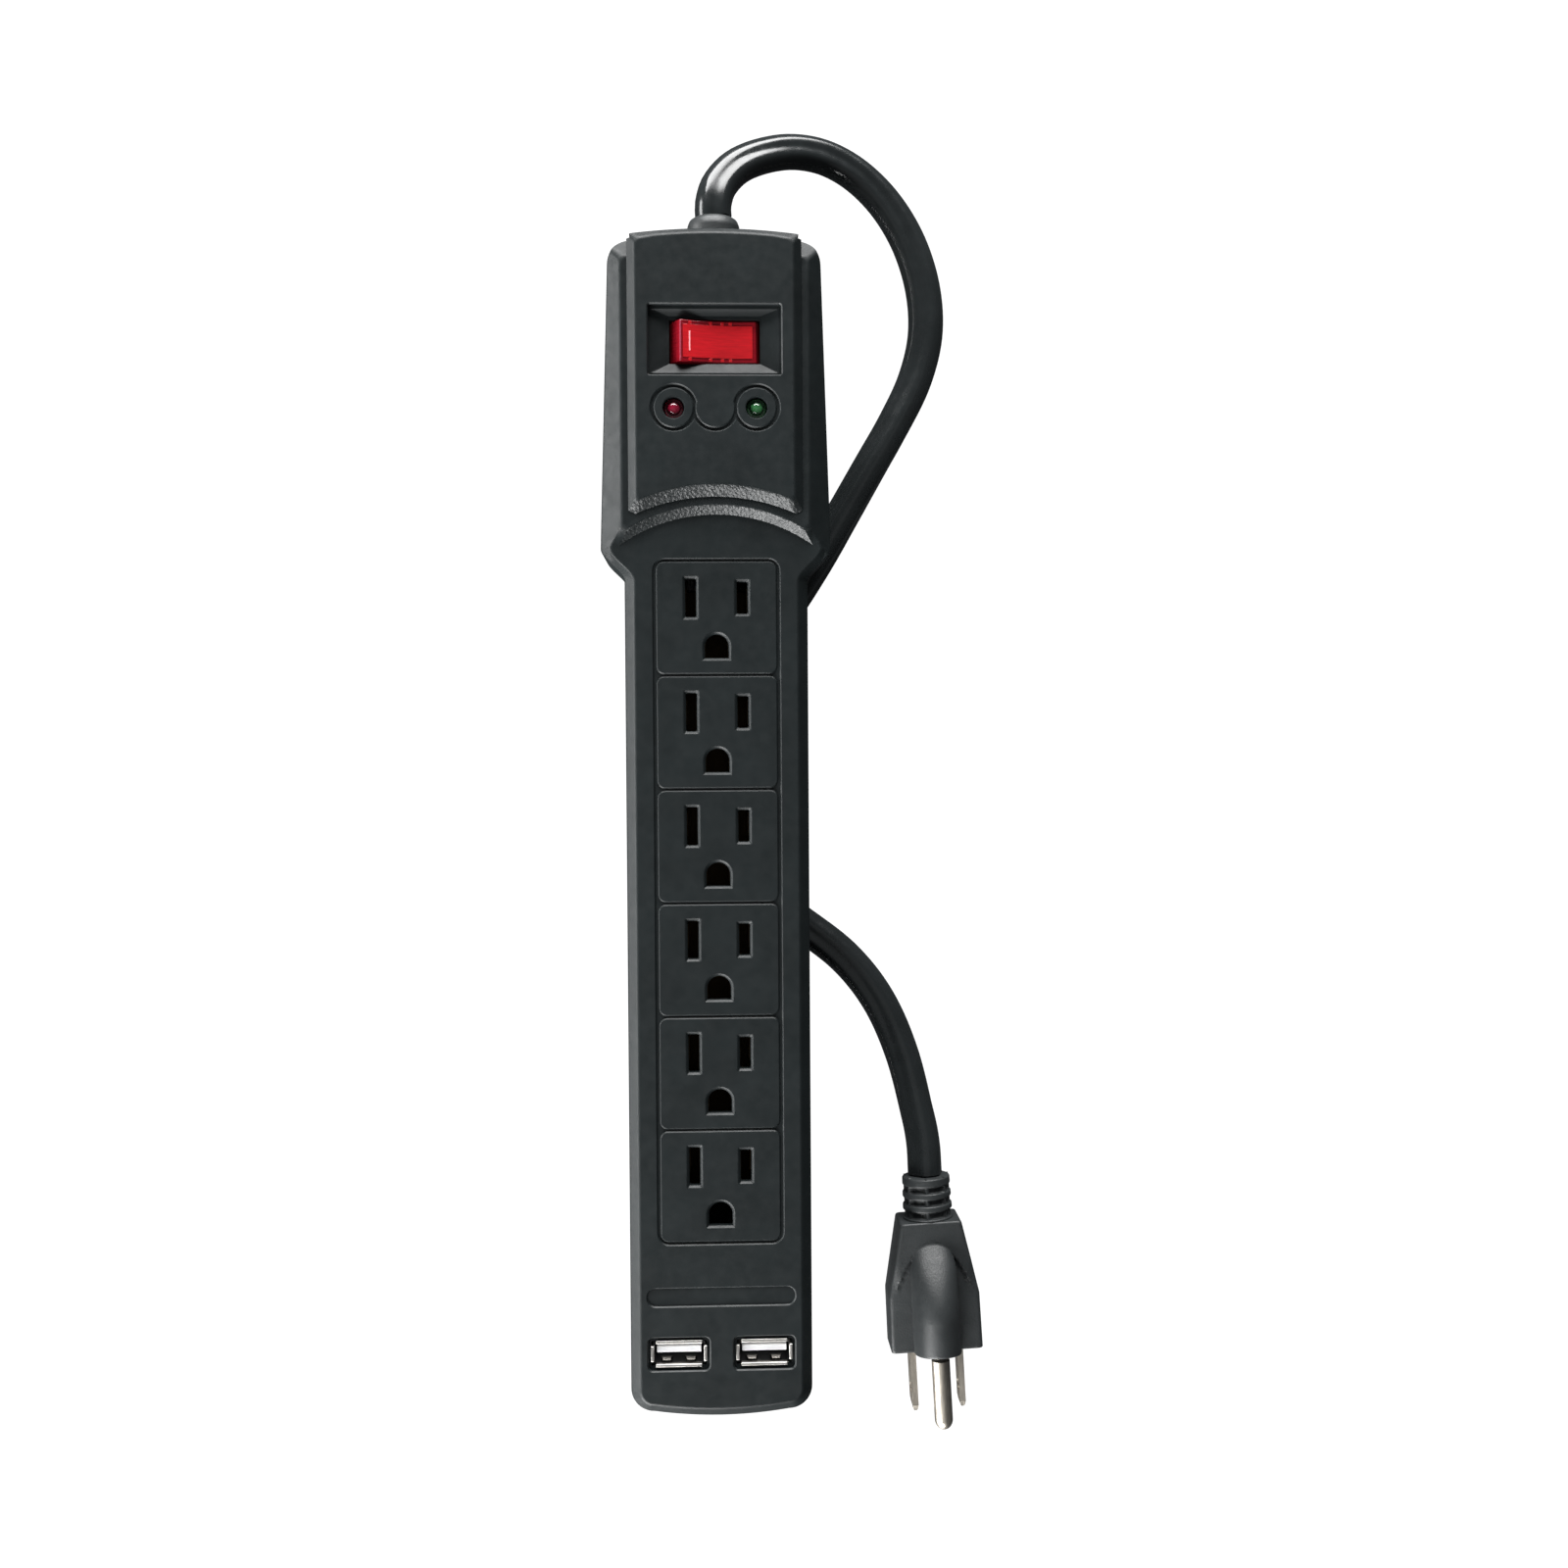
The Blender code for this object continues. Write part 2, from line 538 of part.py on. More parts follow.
def back_cover():
    outline = strip_outline()
    rings = [[(x, y, z) for x, y in ring] for ring, z in (
        (strip_outline(1.0 * MM), BACK_Z), (outline, BACK_Z + MM), (outline, SPLIT_Z - GAP / 2))]
    cover = solid("back_cover", loft(rings), "cover_black")
    cut(cover, prism(strip_outline(WALL), BACK_INSIDE_Z, SPLIT_Z + MM))
    posts = [prism(circle(x, y, 3.3 * MM, 16), BACK_INSIDE_Z - MM, SPLIT_Z - GAP / 2 - 0.01 * MM)
             for x, y in SCREW_PLACES]
    posts += [prism(circle(side * 8.6 * MM, 136.5 * MM, 2.6 * MM, 12), BACK_INSIDE_Z - MM, -8.0 * MM)
              for side in (-1, 1)]
    posts += [prism(circle(x * MM, y * MM, 1.2 * MM, 10), BACK_INSIDE_Z - MM, top * MM) for x, y, top in RESTS]
    cradle = centred(0, 136.5 * MM, 3.9 * MM, 2.4 * MM, BACK_INSIDE_Z - MM, CORD_HEIGHT - 4.95 * MM)
    ribs = [saddle(y * MM) for y in (42.9, 14.9, -13.2, -41.3, -69.4)]
    fuse(cover, merged([*posts, cradle, *ribs]))
    pads = [prism(rounded(0, y, 8 * MM, 12 * MM, 4 * MM), PAD_Z, BACK_Z + 0.5 * MM) for y in KEYHOLE_YS]
    fuse(cover, merged(pads))
    shafts = [turned([(2.75 * MM, BACK_Z - MM), (2.75 * MM, BACK_Z + 2.4 * MM), (1.75 * MM, BACK_Z + 2.4 * MM),
                      (1.75 * MM, SPLIT_Z + MM)], 16, Matrix.Translation((x, y, 0))) for x, y in SCREW_PLACES]
    cut(cover, merged(shafts))
    cut(cover, merged([prism(circle(side * 8.6 * MM, 136.5 * MM, 1.25 * MM, 10), -13.2 * MM, -7 * MM)
                       for side in (-1, 1)]))
    cut(cover, merged([keyhole_cut(y) for y in KEYHOLE_YS]))
    cut(cover, gland_hole())
    return cover


def saddle(y):
    """A rib on the back cover's floor that carries the three contact strips at their own heights."""
    low, middle, high = BACK_INSIDE_Z - 0.5 * MM, -13.3 * MM, -9.8 * MM
    profile = [(-10, low), (-10, high), (-4.1, high), (-4.1, middle), (4.1, middle), (4.1, high), (10, high),
               (10, low)]
    return extruded([(x * MM, z) for x, z in profile], "Y", y - MM, y + MM)


def cover_screws():
    for k, (x, y) in enumerate(SCREW_PLACES, 1):
        low = BACK_Z + 0.3 * MM
        profile = [(2.45 * MM, low), (2.45 * MM, low + 1.7 * MM), (1.2 * MM, low + 1.75 * MM),
                   (1.2 * MM, 4.4 * MM), (0.4 * MM, 5.6 * MM)]
        screw = solid(f"cover_screw_{k}", turned(profile, 14, Matrix.Translation((x, y, 0))), "screw_steel")
        cut(screw, centred(x, y, 1.5 * MM, 0.3 * MM, low - MM, low + 0.9 * MM))
        cut(screw, centred(x, y, 0.3 * MM, 1.5 * MM, low - MM, low + 0.85 * MM))


# ---------------------------------------------------------------- switch

def rocker():
    """The lit button, resting with its +X end pressed in. It turns about the line through PIVOT_Z along Y."""
    end = [(ROCKER_REACH * math.cos(math.radians(a)), ROCKER_REACH * math.sin(math.radians(a)))
           for a in (-5.0, 7.0, 19.0, 31.8)]
    dip = [(x * MM, z * MM) for x, z in ((7.0, 5.15), (3.5, 4.75), (0, 4.6), (-3.5, 4.75), (-7.0, 5.15))]
    under = [(x * MM, z * MM) for x, z in ((-5.0, -3.2), (-2.6, -5.2), (2.6, -5.2), (5.0, -3.2))]
    profile = end + dip + [(-x, z) for x, z in reversed(end)] + under
    half = ROCKER_WIDTH / 2
    shape = extruded(list(reversed(profile)), "Y", -half, half)
    button = solid("rocker_button", shape, "rocker_red")
    pins = turned([(1.2 * MM, -6.1 * MM), (1.2 * MM, 6.1 * MM)], 14, Matrix.Rotation(math.pi / 2, 4, "X"))
    pin = helper("rocker_pin", pins)
    well = helper("rocker_well", prism(circle(0, 0, 1.5 * MM, 12), -6.0 * MM, -1.0 * MM))
    change(button, "UNION", pin)
    change(button, "DIFFERENCE", well)
    tilt = Matrix.Rotation(math.radians(ROCKER_TRAVEL / 2), 4, "Y")
    for piece in (button, pin, well):
        piece.matrix_world = Matrix.Translation((0, SWITCH_Y, PIVOT_Z)) @ tilt
    plunger = solid("switch_plunger", turned([(0.5 * MM, -8.2 * MM), (1.0 * MM, -7.8 * MM), (1.1 * MM, -1.6 * MM)],
                                             12), "nickel")
    plunger.matrix_world = button.matrix_world


def breaker_housing():
    y = SWITCH_Y
    top, low = RECESS_FLOOR_Z - 2.1 * MM, -5.0 * MM
    housing = solid("breaker_housing", centred(0, y, 12.6 * MM, 7.4 * MM, low, top), "housing_grey")
    cut(housing, centred(0, y, ROCKER_REACH + 0.35 * MM, 5.5 * MM, low + 1.6 * MM, top + MM))
    pins = turned([(1.5 * MM, -6.7 * MM), (1.5 * MM, 6.7 * MM)], 14,
                  Matrix.Translation((0, y, PIVOT_Z)) @ Matrix.Rotation(math.pi / 2, 4, "X"))
    cut(housing, pins)
    feet = [centred(x * MM, y, 0.75 * MM, 3.4 * MM, low - MM, low + 3 * MM) for x in (-9.0, 0.0, 9.0)]
    cut(housing, merged(feet))


def terminals():
    """Flat tabs that stand through the housing's floor: the middle one carries the contact arm."""
    tops = {"terminal_lamp": (-9.0, -1.2), "terminal_common": (0.0, -0.6), "terminal_line": (9.0, -1.2)}
    for name, (x, top) in tops.items():
        tab = solid(name, centred(x * MM, SWITCH_Y, 0.4 * MM, 3.0 * MM, -10.4 * MM, top * MM), "brass")
        cut(tab, turned([(0.9 * MM, -3 * MM), (0.9 * MM, 3 * MM)], 10,
                        Matrix.Translation((x * MM, SWITCH_Y, -8.4 * MM)) @ Matrix.Rotation(math.pi / 2, 4, "Y")))
        if name == "terminal_line":
            fuse(tab, centred(7.5 * MM, SWITCH_Y, 1.9 * MM, 1.6 * MM, -1.5 * MM, -0.75 * MM))


def contact_arm():
    """A small see-saw on the common terminal. At rest its line end is up, so the circuit is open."""
    profile = [(-7.2, -0.35), (-6.6, 0.35), (0.0, 0.0), (6.6, 0.35), (7.2, -0.35), (0.0, -0.6)]
    arm = solid("contact_arm", extruded([(x * MM, z * MM) for x, z in reversed(profile)], "Y",
                                        -2.0 * MM, 2.0 * MM), "brass")
    tilt = Matrix.Rotation(math.radians(-ROCKER_TRAVEL * abs(ARM_SHARE) / 2), 4, "Y")
    arm.matrix_world = Matrix.Translation((0, SWITCH_Y, ARM_PIVOT_Z)) @ tilt


# ---------------------------------------------------------------- lamps and boards

def lamps():
    for name, side, finish in (("led_red", -1, "lamp_red"), ("led_green", 1, "lamp_green")):
        profile = [(2.45, 7.3), (2.95, 7.3), (2.95, 8.2), (2.45, 8.3), (2.45, 14.1), (2.3, 15.0), (1.85, 15.85),
                   (1.15, 16.4), (0.35, 16.6)]
        solid(name, turned([(r * MM, z * MM) for r, z in profile], 16,
                           Matrix.Translation((side * LAMP_X, LAMP_Y, 0))), finish)
    solid("led_board", centred(0, LAMP_Y, 16 * MM, 4.2 * MM, 5.4 * MM, 7.0 * MM), "board_green")


def surge_parts():
    solid("surge_board", block((-18.5 * MM, 67 * MM, -9.6 * MM), (18.5 * MM, 97 * MM, -8.0 * MM)), "board_green")
    for k, y in enumerate((74.0, 82.0, 90.0), 1):
        disc = turned([(4.6 * MM, -1.9 * MM), (5.0 * MM, -1.4 * MM), (5.0 * MM, 1.4 * MM), (4.6 * MM, 1.9 * MM)], 18,
                      Matrix.Translation((-10.5 * MM, y * MM, -2.7 * MM)) @ Matrix.Rotation(math.pi / 2, 4, "X"))
        solid(f"varistor_{k}", disc, "disc_blue")
    fuse_place = Matrix.Translation((-1.0 * MM, 82 * MM, -5.9 * MM)) @ Matrix.Rotation(math.pi / 2, 4, "X")
    solid("thermal_fuse", turned([(1.2 * MM, -5 * MM), (1.8 * MM, -4.4 * MM), (1.8 * MM, 4.4 * MM),
                                  (1.2 * MM, 5 * MM)], 12, fuse_place), "nickel")
    solid("filter_capacitor", block((5 * MM, 72 * MM, -7.7 * MM), (13 * MM, 90 * MM, 3.0 * MM)), "tape_yellow")


def contact_strip(name, x, low, leaf_x, width, ys, finish):
    """A strip along Y with a pair of springy leaves at each outlet."""
    strip = solid(name, block((x - width, -96.0 * MM, low), (x + width, 60.0 * MM, low + 0.8 * MM)), finish)
    leaves = []
    for y in ys:
        for side in (-1, 1):
            inner, outer = sorted((x + side * leaf_x, x + side * (leaf_x + 0.6 * MM)))
            leaves.append(block((inner, y - 3 * MM, low + 0.4 * MM), (outer, y + 3 * MM, 4.5 * MM)))
    fuse(strip, merged(leaves))


def contact_strips():
    slots = outlet_ys()
    contact_strip("neutral_strip", -SLOT_X, -9.5 * MM, 1.1 * MM, 2.3 * MM, slots, "brass")
    contact_strip("line_strip", SLOT_X, -9.5 * MM, 1.1 * MM, 2.3 * MM, slots, "brass")
    contact_strip("ground_strip", 0, -13.0 * MM, 2.7 * MM, 3.6 * MM, [y - GROUND_DROP for y in slots[:-1]]
                  + [slots[-1] - GROUND_DROP + 3.5 * MM], "brass")


# ---------------------------------------------------------------- USB

def usb_ports():
    for word, side in (("left", -1), ("right", 1)):
        x, y = side * USB_X, USB_Y
        low, top = -1.4 * MM, DECK_Z - 0.35 * MM
        shell = solid(f"usb_shell_{word}", centred(x, y, 6.5 * MM, 2.85 * MM, low, top - 0.1 * MM), "nickel")
        fuse(shell, centred(x, y, 5.7 * MM, 3.5 * MM, top - 0.45 * MM, top))
        fuse(shell, centred(x, y, 7.1 * MM, 2.0 * MM, top - 0.44 * MM, top - 0.01 * MM))
        cut(shell, centred(x, y, 6.1 * MM, 2.45 * MM, low + 0.6 * MM, top + MM))
        tongue_y = y + 1.1 * MM
        solid(f"usb_tongue_{word}", centred(x, tongue_y, 5.5 * MM, 0.95 * MM, low + 0.9 * MM, top - 1.2 * MM),
              "tongue_white")
    solid("usb_board", block((-18 * MM, -141 * MM, -3.4 * MM), (18 * MM, -121 * MM, -1.8 * MM)), "board_green")
    solid("usb_transformer", centred(-8.5 * MM, -131 * MM, 6.5 * MM, 6.0 * MM, -13.4 * MM, -3.7 * MM), "tape_yellow")
    can = [(4.0, -13.2), (4.4, -12.8), (4.4, -4.3), (4.1, -3.8)]
    solid("usb_capacitor", turned([(r * MM, z * MM) for r, z in can], 18,
                                  Matrix.Translation((8.5 * MM, -132 * MM, 0))), "nickel")
    solid("usb_chip", centred(15.2 * MM, -125.5 * MM, 2.0 * MM, 2.5 * MM, -5.2 * MM, -3.7 * MM), "housing_grey")


# ---------------------------------------------------------------- wiring inside

def wires():
    wire = 1.1 * MM
    routes = {
        "line_wire": ("wire_black", in_mm((2.6, 131.3, -2.0), (2.65, 130.0, -2.6), (4.8, 128.8, -6.2),
                                          (8.2, 126.2, -8.2), (9.0, 122.8, -8.4))),
        "switched_wire": ("wire_black", in_mm((0.0, 115.8, -8.3), (0.1, 114.0, -8.4), (4.6, 110.8, -8.8),
                                              (10.6, 107.0, -9.8), (13.8, 101.0, -12.2), (13.9, 84.0, -12.4),
                                              (12.4, 72.0, -12.4), (7.4, 65.2, -10.9), (6.4, 62.8, -9.3),
                                              (6.35, 60.5, -9.1))),
        "neutral_wire": ("wire_white", in_mm((-2.6, 131.3, -2.0), (-2.65, 130.0, -2.6), (-5.2, 128.9, -6.4),
                                             (-9.5, 126.6, -9.0), (-12.8, 121.0, -11.6), (-13.8, 112.0, -12.4),
                                             (-13.9, 96.0, -12.4), (-12.4, 73.0, -12.4), (-7.4, 65.2, -10.9),
                                             (-6.4, 62.8, -9.3), (-6.35, 60.5, -9.1))),
        "ground_wire": ("wire_green", in_mm((0.0, 131.3, -4.4), (0.1, 129.9, -5.2), (2.0, 125.8, -10.0),
                                            (5.6, 118.0, -12.4), (8.4, 108.0, -12.55), (8.4, 90.0, -12.55),
                                            (4.4, 74.0, -12.55), (0.2, 64.4, -12.55), (0.0, 60.5, -12.55))),
        "usb_line_wire": ("wire_black", in_mm((6.35, -96.5, -9.1), (6.4, -99.0, -9.1), (9.0, -109.0, -8.0),
                                              (10.0, -116.6, -3.6), (10.0, -120.5, -2.6))),
        "usb_neutral_wire": ("wire_white", in_mm((-6.35, -96.5, -9.1), (-6.4, -99.0, -9.1), (-9.0, -109.0, -8.0),
                                                 (-10.0, -116.6, -3.6), (-10.0, -120.5, -2.6))),
    }
    for name, (finish, route) in routes.items():
        tube(name, route, wire, 18, finish)


def cord_entry():
    """The collar in the end wall, the stretch of jacket behind it, and the clamp that grips it."""
    collar = [(4.6, 139.6), (4.9, 139.8), (4.9, 141.2), (6.4, 141.3), (6.4, 143.8), (4.9, 143.9), (4.9, 146.9),
              (6.65, 146.95), (6.65, 151.6), (6.2, 152.9), (5.4, 153.6)]
    solid("cord_gland", turned([(r * MM, z * MM) for r, z in collar], 28, along_y(CORD_HEIGHT)), "cord_black")
    solid("inner_jacket", turned([(4.4 * MM, 132.0 * MM), (4.65 * MM, 132.3 * MM), (4.65 * MM, 139.3 * MM)], 16,
                                 along_y(CORD_HEIGHT)), "cord_black")
    bridge = solid("cord_clamp", centred(0, 136.5 * MM, 11.4 * MM, 2.4 * MM, -7.7 * MM, 4.2 * MM), "housing_grey")
    cut(bridge, turned([(4.95 * MM, 130 * MM), (4.95 * MM, 139 * MM)], 16, along_y(CORD_HEIGHT)))
    cut(bridge, centred(0, 136.5 * MM, 4.4 * MM, 4 * MM, -9 * MM, -5.5 * MM))
    drop = [prism(circle(side * 8.6 * MM, 136.5 * MM, 1.35 * MM, 10), -9 * MM, 5 * MM) for side in (-1, 1)]
    cut(bridge, merged(drop))
    for k, side in enumerate((-1, 1), 1):
        profile = [(0.9, -12.4), (0.9, 4.5), (2.3, 4.5), (2.3, 5.7), (1.4, 6.1)]
        solid(f"clamp_screw_{k}", turned([(r * MM, z * MM) for r, z in profile], 12,
                                         Matrix.Translation((side * 8.6 * MM, 136.5 * MM, 0))), "screw_steel")


# ---------------------------------------------------------------- cord and plug

def plug_place():
    """Turns a shape's Z axis along the plug, away from the cord, with its X across and its Y upwards."""
    frame = Matrix.Rotation(PLUG_YAW, 4, "Z") @ Matrix.Rotation(math.pi / 2, 4, "X")
    return Matrix.Translation(PLUG_START) @ frame


def plug_section(half, low, high, z):
    """A rounded section of the plug's body: half width, and its lowest and highest points from the axis."""
    middle, reach = (low + high) / 2, (high - low) / 2
    radius = min(3.6, reach * 0.8, half * 0.5)
    return [(x * MM, y * MM, z * MM) for x, y in rounded(0, middle, half, reach, radius, 3)]


def plug():
    place = plug_place()
    relief = [(5.2, 0.0), (6.35, 0.5), (6.35, 2.4), (5.4, 2.5), (5.4, 3.9), (6.45, 4.0), (6.45, 5.7), (5.5, 5.8),
              (5.5, 7.2), (6.55, 7.3), (6.55, 9.0), (5.6, 9.1), (5.6, 10.6)]
    solid("plug_strain_relief", turned([(r * MM, z * MM) for r, z in relief], 20, place), "cord_black")
    low = (FLOOR_Z - PLUG_AXIS_Z) / MM
    sections = [(8.4, low, 6.4, 10.9), (8.6, low, 6.6, 11.4), (12.2, low, 7.2, 31.0), (12.4, low, 7.2, 45.6)]
    body = solid("plug_body", placed(loft([plug_section(*s) for s in sections]), place), "cord_black")
    hood = [(u * MM, (16.5 + 0.128 * u * u) * MM) for u in (-13, -10, -7.5, -5, -2.5, 0, 2.5, 5, 7.5, 10, 13)]
    hood += [(13 * MM, 50 * MM), (-13 * MM, 50 * MM)]
    cut(body, placed(loft([[(x, y, z) for x, z in hood] for y in (6.3 * MM, 12 * MM)]), place))
    hump = [(4.2, 1.0, 6.4, 13.0), (5.4, 1.0, 9.6, 17.5), (6.1, 1.0, 13.6, 23.0), (6.3, 1.0, 16.4, 31.0),
            (6.35, 1.0, 16.8, 45.8)]
    rings = []
    for half, base, crown, z in hump:
        arc = [(half * math.cos(math.pi * k / 10), base + (crown - base) * math.sin(math.pi * k / 10) ** 0.8)
               for k in range(11)]
        rings.append([(x * MM, y * MM, z * MM) for x, y in arc + [(-half, base - 2), (half, base - 2)]])
    fuse(body, placed(loft(rings), place))
    blade_y = low + 6.5
    for name, side, half in (("plug_blade_line", 1, 3.15), ("plug_blade_neutral", -1, 3.95)):
        x = side * 6.35
        tip = 62.4
        rings = [[(a * MM, b * MM, z * MM) for a, b in (
            (x - 0.76, blade_y - w), (x + 0.76, blade_y - w), (x + 0.76, blade_y + w), (x - 0.76, blade_y + w))]
            for w, z in ((half, 46.1), (half, tip - 1.6), (half - 1.2, tip))]
        solid(name, placed(loft(rings), place), "nickel")
    pin = [(2.38, 46.1), (2.38, 62.2), (2.0, 63.6), (1.1, 64.4)]
    pin_y = blade_y + 11.9
    solid("plug_ground_pin", turned([(r * MM, z * MM) for r, z in pin], 18,
                                    place @ Matrix.Translation((0, pin_y * MM, 0))), "nickel")


def cord():
    return tube("power_cord", in_mm(*CORD_ROUTE), CORD_DIAMETER / 2, CORD_POINTS, "cord_black")


def main():
    for obj in list(bpy.data.objects):
        bpy.data.objects.remove(obj, do_unlink=True)
    top_cover()
    back_cover()
    cover_screws()
    rocker()
    breaker_housing()
    terminals()
    contact_arm()
    lamps()
    surge_parts()
    contact_strips()
    usb_ports()
    wires()
    cord_entry()
    plug()
    cord()


main()
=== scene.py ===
"""The looks of the power strip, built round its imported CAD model: finely rounded covers, the lit rocker,
lamps, USB ports, the lobed cord and the moulded plug, each with a procedural material, on a white floor
under soft light. Lengths are in metres, in the model's own frame."""

import json
import math

import bmesh
import bpy
from mathutils import Matrix, Vector

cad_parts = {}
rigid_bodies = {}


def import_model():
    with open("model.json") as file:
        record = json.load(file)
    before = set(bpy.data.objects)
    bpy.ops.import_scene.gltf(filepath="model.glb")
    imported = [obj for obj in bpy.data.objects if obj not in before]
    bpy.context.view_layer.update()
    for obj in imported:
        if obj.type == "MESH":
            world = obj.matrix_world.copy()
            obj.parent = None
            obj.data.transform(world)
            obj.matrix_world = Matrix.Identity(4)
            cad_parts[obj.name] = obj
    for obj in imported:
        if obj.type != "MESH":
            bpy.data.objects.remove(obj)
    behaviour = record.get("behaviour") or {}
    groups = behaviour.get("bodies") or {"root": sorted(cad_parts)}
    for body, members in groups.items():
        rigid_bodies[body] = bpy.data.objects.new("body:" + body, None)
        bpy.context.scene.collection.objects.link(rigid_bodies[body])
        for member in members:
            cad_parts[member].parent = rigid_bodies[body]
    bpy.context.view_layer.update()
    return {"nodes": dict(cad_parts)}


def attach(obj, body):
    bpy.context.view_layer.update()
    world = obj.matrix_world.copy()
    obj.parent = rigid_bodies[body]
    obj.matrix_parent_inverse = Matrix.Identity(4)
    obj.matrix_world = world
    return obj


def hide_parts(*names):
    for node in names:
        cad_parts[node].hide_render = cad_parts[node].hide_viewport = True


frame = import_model()
MM = 0.001

# Heights and outline of the strip.
BACK_Z = -16.2 * MM
PAD_Z = -17.0 * MM
SPLIT_Z = -2.0 * MM
SPLIT_GAP = 0.15 * MM  # each cover stops this far from the middle of the joint
DECK_Z = 13.0 * MM
LEDGE_Z = 15.0 * MM
PANEL_Z = 17.0 * MM
HALF_LENGTH = 146.5 * MM
BODY_HALF = 22.6 * MM
HEAD_HALF_LOW = 28.4 * MM
HEAD_HALF_HIGH = 26.2 * MM
SHOULDER_LOW_Y = 61.0 * MM
SHOULDER_HIGH_Y = 69.3 * MM
WING_END_Y = 144.4 * MM
FOOT_CORNER = 5.8 * MM
WING_CORNER = 6.0 * MM
END_BOW = 1.3 * MM
NOSE_HALF = 20.6 * MM
CHAMFER = 2.5 * MM
WALL = 2.2 * MM  # thickness of each cover
CORD_HOLE = 5.2 * MM  # radius of the hole in the head end

# The two steps of the head: (half width, half width of the arch, middle of the arch, far end) along the top
# edge, and how far each moves out per length down the bevel.
LEDGE_EDGE = (22.95 * MM, 21.5 * MM, 79.5 * MM, 141.2 * MM)
LEDGE_SPREAD = (1.25, 1.12, -1.07, 1.25)
LEDGE_DIP = 0.2 * MM  # the ledge sinks this far towards the panel
LEDGE_DIP_END = 140.5 * MM
LEDGE_ARCH_RADIUS = 42.5 * MM
PANEL_EDGE = (19.3 * MM, 18.6 * MM, 84.2 * MM, 145.1 * MM)
PANEL_SPREAD = (1.0, 0.5, -1.35, 1.0)
PANEL_ARCH_RADIUS = 48.0 * MM
CUT_CORNER = 0.8 * MM
EDGE = 0.45 * MM  # how far the outer edges are rounded
LIP = 0.32 * MM  # width of the small bevel on the edges of grooves and holes

# Sockets, switch, lamps and ports.
SLOT_YS = [(57.0 - 28.1 * k) * MM for k in range(6)]
SLOT_X = 6.35 * MM
PLATE_DROP = 4.95 * MM
PLATE_HALF_X = 14.6 * MM
PLATE_HALF_Y = 13.5 * MM
GROUND_DROP = 11.9 * MM
SWITCH_Y = 119.3 * MM
PIVOT = Vector((0, SWITCH_Y, 9.0 * MM))
RECESS_FLOOR_Z = 13.9 * MM  # shown 0.3 mm above the CAD's floor
RECESS_SHIFT = 0.37 * MM  # the recess's foot lies nearer the head, so the slope on that side is steeper
ROCKER_TILT = math.radians(9.0)
ROCKER_REACH = 11.0 * MM
LAMP_X = 10.1 * MM
LAMP_Y = 102.8 * MM
USB_X = 10.6 * MM
USB_Y = -130.2 * MM
LABEL_Y = -116.0 * MM
KEYHOLE_YS = (99.0 * MM, -101.0 * MM)
SCREW_PLACES = [(side * x * MM, y * MM) for x, y in ((19.5, 134.5), (17.0, -14.1), (16.6, -116.0))
                for side in (-1, 1)]

# Cord and plug.
CORD_DIAMETER = 9.3 * MM
FLOOR_Z = -26.0 * MM
PLUG_AXIS_Z = -19.0 * MM
PLUG_PLACE = (Matrix.Translation((54.8 * MM, -93.9 * MM, PLUG_AXIS_Z))
              @ Matrix.Rotation(math.radians(2.9), 4, "Z") @ Matrix.Rotation(math.pi / 2, 4, "X"))
CORD_ROUTE = [  # the route of the CAD's cord, from the collar to the plug
    (0.0, 0.15395, -0.002), (0.0, 0.1574, -0.0021), (0.0016, 0.1626, -0.0039), (0.006, 0.168, -0.0068),
    (0.0128, 0.172, -0.0106), (0.0208, 0.1743, -0.0144), (0.0294, 0.1738, -0.0176),
    (0.038, 0.1698, -0.0198), (0.0458, 0.1624, -0.0209), (0.0518, 0.1524, -0.02115),
    (0.0554, 0.1406, -0.02115), (0.056, 0.1286, -0.02115), (0.0532, 0.1168, -0.02115),
    (0.0478, 0.1054, -0.02115), (0.0412, 0.094, -0.02115), (0.034, 0.0816, -0.02115),
    (0.026, 0.068, -0.02115), (0.0166, 0.054, -0.02115), (0.0056, 0.0404, -0.02115),
    (-0.0038, 0.0264, -0.02115), (-0.0068, 0.0108, -0.02115), (-0.0024, -0.005, -0.02115),
    (0.0086, -0.0176, -0.02115), (0.0224, -0.027, -0.02115), (0.034, -0.0362, -0.02115),
    (0.0428, -0.0476, -0.02115), (0.049, -0.0618, -0.021), (0.053, -0.0776, -0.02),
    (0.05438, -0.0856, -0.0192), (0.05478, -0.09355, -0.019),
]


# ---------------------------------------------------------------- materials

